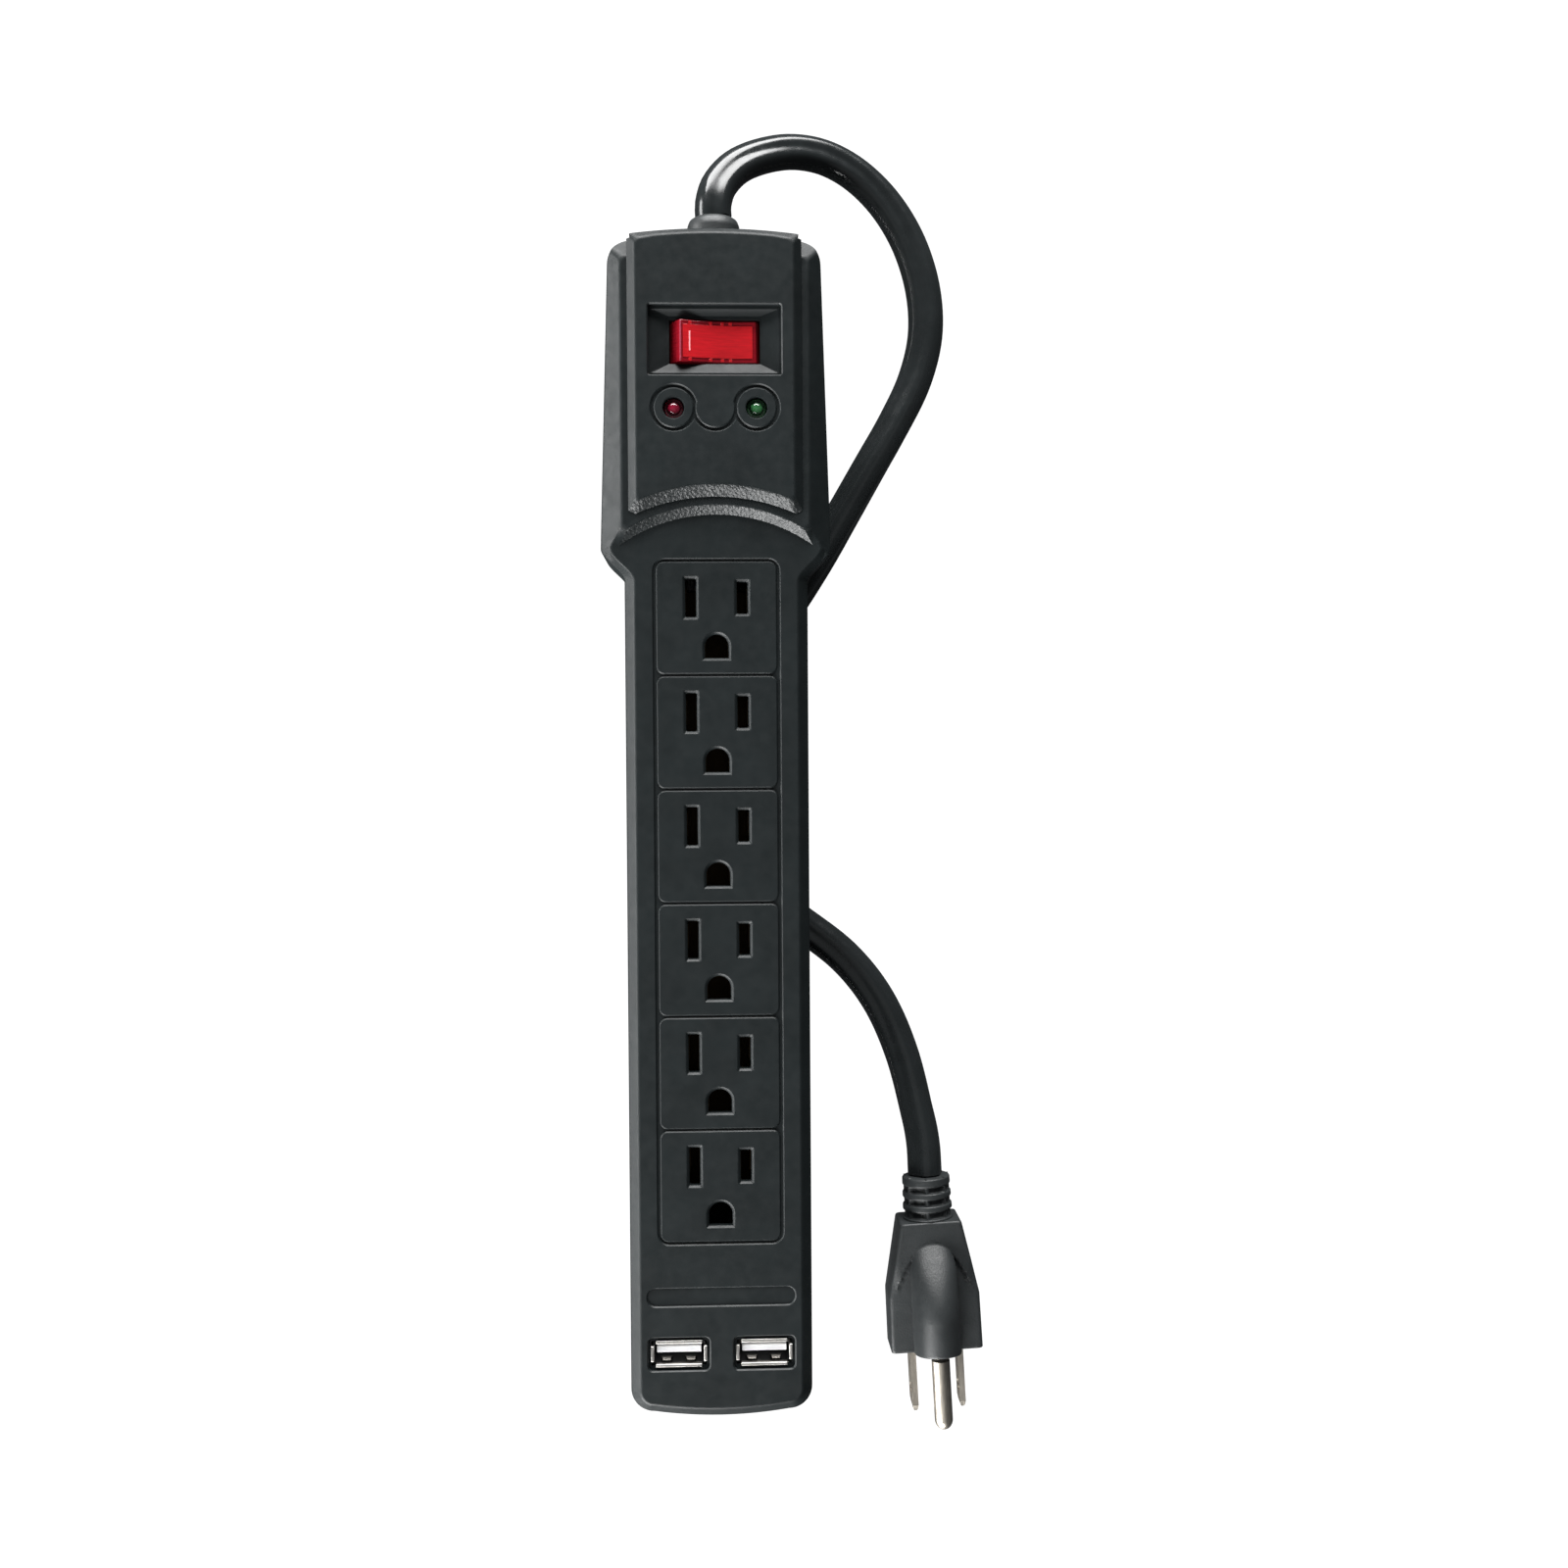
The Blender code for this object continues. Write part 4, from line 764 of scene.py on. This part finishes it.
def grain_the_arches(cover):
    """Gives the two arched bevels the coarse finish."""
    cover.data.materials.append(FINISHES["cover_grained"])
    for face in cover.data.polygons:
        x, y, z = face.center
        tilted = 0.4 < face.normal.z < 0.95 and face.normal.y < -0.3
        if tilted and 68 * MM < y < 86 * MM and abs(x) < 23.8 * MM and DECK_Z - 0.1 * MM < z < PANEL_Z:
            face.material_index = 1


def label_outline(grow):
    """The rounded field above the USB ports."""
    return rounded(0, LABEL_Y, 18.3 * MM + grow, 2.2 * MM + grow, 2.1 * MM + grow, 10)


def top_cover():
    cover = mesh_object("top_cover_moulding", cover_body())
    cut(cover, above_the_cover(), *hollow())
    cut(cover, frame_channel(), socket_holes(), switch_recess())
    cut(cover, block(0, SWITCH_Y, 11.1 * MM, 5.4 * MM, 8 * MM, RECESS_FLOOR_Z + 0.2 * MM))
    cut(cover, lamp_moat(), lamp_holes(), usb_windows())
    cut(cover, widening(label_outline, DECK_Z - 0.4 * MM, DECK_Z))
    cut(cover, turned([(CORD_HOLE, 138 * MM), (CORD_HOLE, 152 * MM)], 48, along_y()))
    settle(cover)
    shade(cover)
    finish(cover, "cover_black", replaces=["top_cover"])
    grain_the_arches(cover)
    return cover


def along_y():
    """Turns a shape's Z axis to the strip's Y axis, at the height of the cord."""
    return Matrix.Translation((0, 0, SPLIT_Z)) @ Matrix.Rotation(-math.pi / 2, 4, "X")


# ---------------------------------------------------------------- back cover

def keyhole(y):
    """A round hole for a screw head, with a narrow slot towards the head end."""
    turns = [math.radians(122 + 296 * k / 31) for k in range(32)]
    head = [(4.0 * MM * math.cos(a), y - 4 * MM + 4.0 * MM * math.sin(a)) for a in turns]
    neck = arc(0, y + 6 * MM, 2.1 * MM, 0, math.pi, 12)
    return prism(head + neck, PAD_Z - MM, -13 * MM)


def back_cover():
    outline = strip_outline()
    into = inward(outline)
    top = SPLIT_Z - SPLIT_GAP
    profile = eased([(3.0 * MM, BACK_Z), (MM, BACK_Z), (0.0, BACK_Z + MM), (0.0, top - MM)], 0.4 * MM)
    rings = [(inset, z) for inset, z in profile[1:-1]]
    rings += [(LIP * (k / 4) ** 2, top - LIP * (1 - k / 4) ** 2) for k in range(5)]
    shape = [[(x + w.x * inset, y + w.y * inset, z) for (x, y), w in zip(outline, into)]
             for inset, z in rings]
    cover = mesh_object("back_cover_moulding", loft(shape))
    inner = [(x + w.x * WALL, y + w.y * WALL) for (x, y), w in zip(outline, into)]
    cut(cover, prism(inner, -14 * MM, SPLIT_Z + MM))
    pads = []
    for y in KEYHOLE_YS:
        rim = eased([(8.6 * MM, BACK_Z + 0.5 * MM), (8.0 * MM, PAD_Z), (5.0 * MM, PAD_Z)], 0.35 * MM)[1:-1]
        pads.append(loft([at(rounded(0, y, half, half + 4 * MM, half - 4 * MM), z)
                          for half, z in [(8.2 * MM, BACK_Z + 0.6 * MM), *rim]]))
    join(cover, merged(pads))
    bore = [(2.9 * MM, BACK_Z - MM), (2.9 * MM, BACK_Z), (2.75 * MM, BACK_Z + 0.15 * MM),
            (2.75 * MM, BACK_Z + 2.4 * MM), (1.75 * MM, BACK_Z + 2.4 * MM), (1.75 * MM, -10 * MM)]
    bores = [turned(bore, 32, Matrix.Translation((x, y, 0))) for x, y in SCREW_PLACES]
    posts = [prism(circle(x, y, 3.3 * MM, 32), -14.5 * MM, top - 0.3 * MM) for x, y in SCREW_PLACES]
    join(cover, merged(posts))
    cut(cover, merged(bores), *[keyhole(y) for y in KEYHOLE_YS])
    cut(cover, turned([(CORD_HOLE, 138 * MM), (CORD_HOLE, 152 * MM)], 48, along_y()))
    settle(cover)
    shade(cover)
    return finish(cover, "cover_black", replaces=["back_cover"])


def keyhole_shroud():
    """A moulded cup over the lower keyhole, which keeps a mounting screw away from the parts inside."""
    y = KEYHOLE_YS[1]
    outside = rounded(0, y, 5.6 * MM, 10.0 * MM, 4.6 * MM)
    obj = mesh_object("keyhole_shroud", prism(outside, -13.9 * MM, -10.4 * MM))
    cut(obj, prism(rounded(0, y, 4.6 * MM, 9.0 * MM, 3.6 * MM), -14.5 * MM, -11.3 * MM))
    settle(obj)
    shade(obj)
    return finish(obj, "cover_black")


# ---------------------------------------------------------------- switch

def rocker_top(x):
    """Height of the rocker's dished face above the pivot, before it is tilted."""
    return 4.6 * MM + 1.2 * MM * (abs(x) / (9.35 * MM)) ** 2


def rocker_section():
    end = [(ROCKER_REACH * math.cos(a), ROCKER_REACH * math.sin(a))
           for a in (math.radians(-5 + 36.8 * k / 12) for k in range(13))]
    dip = [(x, rocker_top(x)) for x in (9.35 * MM * (1 - k / 12) for k in range(1, 24))]
    under = [(x * MM, z * MM) for x, z in ((-5.0, -3.2), (-2.6, -5.2), (2.6, -5.2), (5.0, -3.2))]
    return end + dip + [(-x, z) for x, z in reversed(end)] + under


def face_slab(low_x, high_x, half_y, lift, sink, middle_y=0.0, steps=20):
    """A thin pad that follows the rocker's dished face."""
    xs = [low_x + (high_x - low_x) * k / steps for k in range(steps + 1)]
    upper = [(x, rocker_top(x) + lift) for x in xs]
    lower = [(x, rocker_top(x) - sink) for x in reversed(xs)]
    return loft([[(x, y, z) for x, z in upper + lower] for y in (middle_y - half_y, middle_y + half_y)])


def rocker_piece(name, shape, look, bevel):
    tilt = Matrix.Translation(PIVOT) @ Matrix.Rotation(ROCKER_TILT, 4, "Y")
    obj = mesh_object(name, placed(shape, tilt))
    soften(obj, bevel)
    shade(obj)
    return finish(obj, look, "rocker", "rocker_red")


def rocker():
    half = 5.1 * MM
    body = loft([[(x, y, z) for x, z in rocker_section()] for y in (-half, half)])
    button = rocker_piece("rocker_cap", body, "rocker_red", 0.28 * MM)
    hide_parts("rocker_button")
    field = face_slab(-8.7 * MM, 8.5 * MM, 4.0 * MM, 0.16 * MM, 0.3 * MM)
    rocker_piece("rocker_field", field, "rocker_field", 0.08 * MM)
    # A thin raised slab on the ridge. Its lighter colour and glow are a painted highlight on the bevel.
    ridge = face_slab(-9.55 * MM, -9.15 * MM, 4.75 * MM, 0.22 * MM, 0.3 * MM, steps=4)
    rocker_piece("rocker_ridge", ridge, "rocker_ridge", 0.1 * MM)
    ticks = [face_slab(x * MM, x * MM + 0.8 * MM, 0.42 * MM, 0.1 * MM, 0.3 * MM, side * 4.45 * MM, 3)
             for x in (-7.3, -2.1, 0.8, 2.8) for side in (-1, 1)]
    rocker_piece("rocker_ticks", merged(ticks), "rocker_field", 0.04 * MM)
    on_line = face_slab(-7.2 * MM, -6.85 * MM, 2.4 * MM, 0.3 * MM, 0.3 * MM, steps=2)
    rocker_piece("rocker_on_mark", on_line, "rocker_mark", 0.08 * MM)


# ---------------------------------------------------------------- lamps

def lamps():
    dome = [(2.9, 7.4), (2.9, 8.1), (2.4, 8.3), (2.4, 15.0), (2.3, 15.15), (1.75, 15.25)]
    turns = [math.radians(a) for a in range(4, 90, 6)]
    dome += [(1.65 * math.cos(a), 15.3 + 1.2 * math.sin(a)) for a in turns]
    profile = [(r * MM, z * MM) for r, z in dome]
    cup = eased([(0.5 * MM, 11.5 * MM), (0.7 * MM, 11.5 * MM), (1.7 * MM, 13.6 * MM),
                 (1.9 * MM, 13.6 * MM), (1.9 * MM, 11.0 * MM), (0.5 * MM, 11.0 * MM)], 0.1 * MM, 2)
    for name, side, look in (("led_red", -1, "lamp_red"), ("led_green", 1, "lamp_green")):
        place = Matrix.Translation((side * LAMP_X, LAMP_Y, 0))
        lens = shade(mesh_object(name + "_lens", turned(profile, 48, place)))
        finish(lens, look, replaces=[name])
        bowl = shade(mesh_object(name + "_cup", turned_shell(cup, 32, place)))
        finish(bowl, "lamp_cup", slot="nickel")


def turned_shell(profile, sides, place):
    """A ring turned about Z from a closed outline of (radius, height) pairs."""
    points = []
    for k in range(sides):
        a = 2 * math.pi * k / sides
        points += [tuple(place @ Vector((r * math.cos(a), r * math.sin(a), z))) for r, z in profile]
    count = len(profile)
    faces = []
    for k in range(sides):
        for j in range(count):
            a, b = k * count + j, k * count + (j + 1) % count
            c, d = (k + 1) % sides * count + (j + 1) % count, (k + 1) % sides * count + j
            faces.append((a, b, c, d))
    return points, faces


# ---------------------------------------------------------------- USB ports

def usb_port(word, side):
    x, y = side * USB_X, USB_Y
    low, top = -1.4 * MM, 11.2 * MM
    shell = mesh_object(f"usb_can_{word}", prism(rounded(x, y, 6.5 * MM, 2.85 * MM, 0.7 * MM), low, top))
    cut(shell, prism(rounded(x, y, 6.15 * MM, 2.5 * MM, 0.4 * MM), low + 0.6 * MM, top + MM))
    settle(shell)
    shade(shell)
    finish(shell, "can_nickel", slot="nickel", replaces=[f"usb_shell_{word}"])
    bars = [block(x, y + 2.93 * MM, 5.75 * MM, 0.4 * MM, 10.9 * MM, 12.62 * MM),
            block(x, y - 2.93 * MM, 5.75 * MM, 0.4 * MM, 10.9 * MM, 12.62 * MM),
            block(x + 6.6 * MM, y, 0.42 * MM, 1.95 * MM, 10.9 * MM, 12.6 * MM),
            block(x - 6.6 * MM, y, 0.42 * MM, 1.95 * MM, 10.9 * MM, 12.6 * MM)]
    flange = mesh_object(f"usb_flange_{word}", merged(bars))
    soften(flange, 0.2 * MM)
    shade(flange)
    finish(flange, "nickel")
    board = block(x, y + 0.85 * MM, 5.5 * MM, 0.75 * MM, 0.2 * MM, 11.4 * MM)
    tongue = mesh_object(f"usb_insert_{word}", board)
    soften(tongue, 0.15 * MM)
    shade(tongue)
    finish(tongue, "tongue_white", replaces=[f"usb_tongue_{word}"])
    tabs = [spring_tab(x + shift * MM, y - 2.45 * MM) for shift in (-3.1, 2.9)]
    springs = mesh_object(f"usb_springs_{word}", merged(tabs))
    soften(springs, 0.06 * MM, 2)
    shade(springs)
    finish(springs, "spring_nickel", slot="nickel")


def spring_tab(x, wall_y):
    """A tapered leaf that leans in from the can's lower wall."""
    rings = []
    for z, half, out in ((7.0, 1.5, 0.02), (9.0, 1.35, 0.55), (10.4, 1.15, 0.85), (11.2, 0.95, 0.45)):
        rings.append([(x - half * MM, wall_y + out * MM, z * MM), (x + half * MM, wall_y + out * MM, z * MM),
                      (x + half * MM, wall_y + (out + 0.2) * MM, z * MM),
                      (x - half * MM, wall_y + (out + 0.2) * MM, z * MM)])
    return loft(rings)


# ---------------------------------------------------------------- cord

def smooth(route, count):
    """Evenly spaced points on a Catmull-Rom curve through the route."""
    ends = [route[0] * 2 - route[1], *route, route[-1] * 2 - route[-2]]
    fine = []
    for k in range(1, len(ends) - 2):
        a, b, c, d = ends[k - 1:k + 3]
        for step in range(24):
            t = step / 24
            fine.append(0.5 * (2 * b + (c - a) * t + (2 * a - 5 * b + 4 * c - d) * t ** 2
                               + (3 * b - a - 3 * c + d) * t ** 3))
    fine.append(route[-1])
    lengths = [0.0]
    for a, b in zip(fine, fine[1:]):
        lengths.append(lengths[-1] + (b - a).length)
    path, k = [], 0
    for step in range(count):
        wanted = lengths[-1] * step / (count - 1)
        while k < len(fine) - 2 and lengths[k + 1] < wanted:
            k += 1
        path.append(fine[k].lerp(fine[k + 1], (wanted - lengths[k]) / (lengths[k + 1] - lengths[k])))
    return path, lengths[-1]


def lobed_tube(path, radius, lobe, turn, sides=60):
    """A tube of three soft lobes, which twist slowly along it."""
    rings = []
    side = Vector((1, 0, 0))
    walked = 0.0
    for k, here in enumerate(path):
        ahead = (path[min(k + 1, len(path) - 1)] - path[max(k - 1, 0)]).normalized()
        side = (side - ahead * side.dot(ahead)).normalized()
        up = ahead.cross(side)
        if k:
            walked += (here - path[k - 1]).length
        twist = turn * walked + 0.6
        ring = []
        for j in range(sides):
            a = 2 * math.pi * j / sides
            reach = radius * (1 - lobe * (0.5 + 0.5 * math.cos(3 * (a - twist))) ** 3)
            ring.append(tuple(here + side * (math.cos(a) * reach) + up * (math.sin(a) * reach)))
        rings.append(ring)
    return loft(rings)


def cord():
    path, length = smooth([Vector(p) for p in CORD_ROUTE], 220)
    tube = mesh_object("cord_jacket", lobed_tube(path, CORD_DIAMETER * 0.505, 0.15, 10.0))
    shade(tube, 60.0)
    finish(tube, "cord_black", replaces=["power_cord"])
    return tube, path, length


def collar():
    profile = eased([(4.7 * MM, 139.6 * MM), (4.9 * MM, 141.0 * MM), (6.4 * MM, 141.2 * MM),
                     (6.4 * MM, 143.8 * MM), (4.9 * MM, 144.0 * MM), (4.9 * MM, 146.9 * MM),
                     (6.6 * MM, 147.0 * MM), (6.6 * MM, 151.4 * MM), (6.0 * MM, 152.9 * MM),
                     (4.8 * MM, 153.6 * MM)], 0.5 * MM)
    obj = shade(mesh_object("cord_collar", turned(profile, 64, along_y())))
    return finish(obj, "plug_black", slot="cord_black", replaces=["cord_gland"])


# ---------------------------------------------------------------- plug

def clamped(value):
    return max(0.0, min(1.0, value))


def eased_step(value):
    t = clamped(value)
    return t * t * (3 - 2 * t)


def plug_half(v):
    """Half width of the plug's body, in millimetres, v along it from the cord's end."""
    if v < 31:
        return 8.1 + 3.9 * (v - 11.4) / 19.6
    return 12.0 + 0.15 * (v - 31) / 15


def plug_height(u, v):
    """Height of the plug's upper face above its axis: a flat hood, lower flanks and a central hump."""
    hood_line = 16.5 + 0.128 * u * u
    hood = 0.75 * (1 - eased_step((v - hood_line) / 0.9)) * (1 - eased_step((abs(u) - 9.0) / 1.6))
    low = 5.9 + hood
    along = clamped((v - 16.3) / 20.0)
    half = 6.15 * math.sqrt(max(0.0, 1 - (1 - clamped((v - 16.0) / 9.0)) ** 2))
    if half < 0.05 or abs(u) >= half:
        return low
    crown = 6.2 + 10.3 * math.sin(math.pi / 2 * along) ** 1.1
    return max(low, 5.6 + (crown - 5.6) * math.sqrt(1 - (u / half) ** 2) ** 0.75)


def plug_section(v, inset):
    """One cross-section of the plug's body, drawn in by inset at its rounded ends."""
    half = plug_half(v) - inset
    floor = -6.8 + inset
    across = [6.2 * math.sin(math.pi / 2 * k / 24) for k in range(25)]
    across += [6.2 + (half - 1.0 - 6.2) * k / 6 for k in range(1, 7)]
    if half < 7.6:
        across = [half * 0.88 * k / 30 for k in range(31)]
    edge = across[-1]
    top = [(u, plug_height(u, v) - inset) for u in across]
    side_top = top[-1][1]
    right = top + [(edge + (half - edge) * math.sin(a), side_top - (half - edge) * (1 - math.cos(a)))
                   for a in (math.pi / 2 * k / 5 for k in range(1, 6))]
    right += [(half - 0.8 * (1 - math.cos(a)), floor + 0.8 - 0.8 * math.sin(a))
              for a in (math.pi / 2 * k / 4 for k in range(5))]
    left = [(-u, h) for u, h in reversed(right[1:])]
    return [(u * MM, h * MM, v * MM) for u, h in right + left]


def plug_body():
    stations = [11.4, 11.45, 11.6, 11.9]
    stations += [12.3 + 33.0 * k / 84 for k in range(85)]
    stations += [45.5, 45.68, 45.8]
    insets = {11.4: 0.6, 11.45: 0.32, 11.6: 0.12, 11.9: 0.02, 45.5: 0.04, 45.68: 0.16, 45.8: 0.45}
    rings = [plug_section(v, insets.get(v, 0.0)) for v in stations]
    rings = [[(u, h, v - 0.14 * max(0.0, h - 6 * MM) * eased_step(v / MM / 15 - 2.05)) for u, h, v in ring]
             for ring in rings]  # the hump's end leans back towards the cord
    obj = mesh_object("plug_moulding", placed(loft(rings), PLUG_PLACE))
    shade(obj, 50.0)
    return finish(obj, "plug_black", slot="cord_black", replaces=["plug_body"])


def relief_radius(base, angle):
    """In a groove, small ribs bridge the gap at intervals."""
    ribs = (0.5 + 0.5 * math.cos(7 * angle + 0.9)) ** 8
    return base + (6.25 - base) * ribs if base < 5.8 else base


def strain_relief():
    profile = eased([(4.75, 0.0), (6.3, 0.3), (6.35, 2.3), (5.45, 2.45), (5.45, 3.95),
                     (6.4, 4.1), (6.45, 5.6), (5.5, 5.75), (5.5, 7.25), (6.5, 7.4),
                     (6.55, 8.9), (5.6, 9.05), (5.6, 10.7), (6.6, 10.9), (6.6, 11.3)], 0.35)
    rings = []
    for r, v in profile:
        angles = [2 * math.pi * k / 112 for k in range(112)]
        rings.append([(relief_radius(r, a) * math.cos(a) * MM, relief_radius(r, a) * math.sin(a) * MM, v * MM)
                      for a in angles])
    obj = mesh_object("plug_relief", placed(loft(rings), PLUG_PLACE))
    shade(obj, 50.0)
    return finish(obj, "plug_black", slot="cord_black", replaces=["plug_strain_relief"])


def blade(name, side, half):
    """A flat blade with a chamfered tip and the usual hole near it."""
    x, y, thick = side * 6.35, -0.3, 0.76
    rings = []
    for v, wide, slim in ((46.1, half, thick), (60.6, half, thick), (61.8, half - 0.8, thick * 0.8),
                          (62.4, half - 1.5, thick * 0.45)):
        corners = ((x - slim, y - wide), (x + slim, y - wide), (x + slim, y + wide), (x - slim, y + wide))
        rings.append([(a * MM, b * MM, v * MM) for a, b in corners])
    obj = mesh_object(name + "_plated", placed(loft(rings), PLUG_PLACE))
    hole = Matrix.Translation((x * MM, y * MM, 57.0 * MM)) @ Matrix.Rotation(math.pi / 2, 4, "Y")
    cut(obj, placed(turned([(1.6 * MM, -3 * MM), (1.6 * MM, 3 * MM)], 24), PLUG_PLACE @ hole))
    settle(obj)
    shade(obj)
    return finish(obj, "blade_nickel", slot="nickel", replaces=[name])


def ground_pin():
    profile = [(2.38 * MM, 46.1 * MM), (2.38 * MM, 61.6 * MM)]
    profile += [(2.38 * MM * math.cos(a), (61.6 + 2.7 * math.sin(a)) * MM)
                for a in (math.pi / 2 * k / 10 for k in range(1, 10))]
    place = PLUG_PLACE @ Matrix.Translation((0, 11.6 * MM, 0))
    obj = shade(mesh_object("ground_pin_plated", turned(profile, 48, place)), 50.0)
    return finish(obj, "blade_nickel", slot="nickel", replaces=["plug_ground_pin"])


def plug():
    return [strain_relief(), plug_body(), blade("plug_blade_line", 1, 3.15),
            blade("plug_blade_neutral", -1, 3.95), ground_pin()]


# ---------------------------------------------------------------- what stays from the CAD

def dress_the_cad():
    """The inner parts keep their CAD shape and get the procedural finishes."""
    for node in frame["nodes"].values():
        look = next((name for name in FINISHES if node.data.materials
                     and node.data.materials[0].name.split(".")[0] == name), "housing_grey")
        node.data.materials.clear()
        node.data.materials.append(FINISHES[look])


# ---------------------------------------------------------------- stage

def floor():
    mesh = bpy.data.meshes.new("floor")
    reach = 3.0
    mesh.from_pydata([(-reach, -reach, FLOOR_Z), (reach, -reach, FLOOR_Z), (reach, reach, FLOOR_Z),
                      (-reach, reach, FLOOR_Z)], [], [(0, 1, 2, 3)])
    obj = bpy.data.objects.new("floor", mesh)
    bpy.context.scene.collection.objects.link(obj)
    paper = Finish("paper", (0.05, 0.05, 0.05), 0.9)
    paper.tinted(paper.noise(3.0), 0.99, 1.01)
    paper.set("Specular IOR Level", 0.0)
    paper.set("Emission Color", (1.0, 1.0, 1.0, 1.0))
    paper.set("Emission Strength", 1.05)
    mesh.materials.append(paper.material)
    obj.visible_glossy = False
    obj.visible_diffuse = False


def softbox(name, place, target, size, power):
    light = bpy.data.lights.new(name, "AREA")
    light.shape = "RECTANGLE"
    light.size, light.size_y = size
    light.energy = power
    obj = bpy.data.objects.new(name, light)
    obj.location = place
    obj.rotation_euler = (Vector(target) - Vector(place)).to_track_quat("-Z", "Y").to_euler()
    bpy.context.scene.collection.objects.link(obj)


def lights():
    middle = (0, 0, 0)
    softbox("front", (-0.56, -1.15, 0.38), middle, (1.05, 0.78), 52)
    softbox("back", (0.0, 1.3, 0.42), middle, (1.5, 0.8), 62)
    softbox("left", (-1.2, 0, 0.22), middle, (1.6, 0.44), 28)
    softbox("overhead", (0, -0.3, 1.5), middle, (1.4, 1.3), 0.8)
    world = bpy.data.worlds.new("studio")
    world.use_nodes = True
    world.node_tree.nodes["Background"].inputs["Color"].default_value = (0.9, 0.95, 1.0, 1.0)
    world.node_tree.nodes["Background"].inputs["Strength"].default_value = 0.05
    bpy.context.scene.world = world


def camera():
    data = bpy.data.cameras.new("camera")
    data.lens = 41.93
    data.sensor_width = 36.0
    data.clip_start = 0.02
    obj = bpy.data.objects.new("camera", data)
    obj.location = (-0.00305, 0.02179, 0.463)
    obj.rotation_euler = [math.radians(a) for a in (-1.347, -2.475, -0.366)]
    bpy.context.scene.collection.objects.link(obj)
    bpy.context.scene.camera = obj


def main():
    bpy.context.scene.view_settings.view_transform = "Standard"
    camera()
    dress_the_cad()
    tube, path, length = cord()
    pieces = plug()
    collar()
    top_cover()
    back_cover()
    keyhole_shroud()
    rocker()
    lamps()
    usb_port("left", -1)
    usb_port("right", 1)
    clear_tools()
    floor()
    lights()


main()
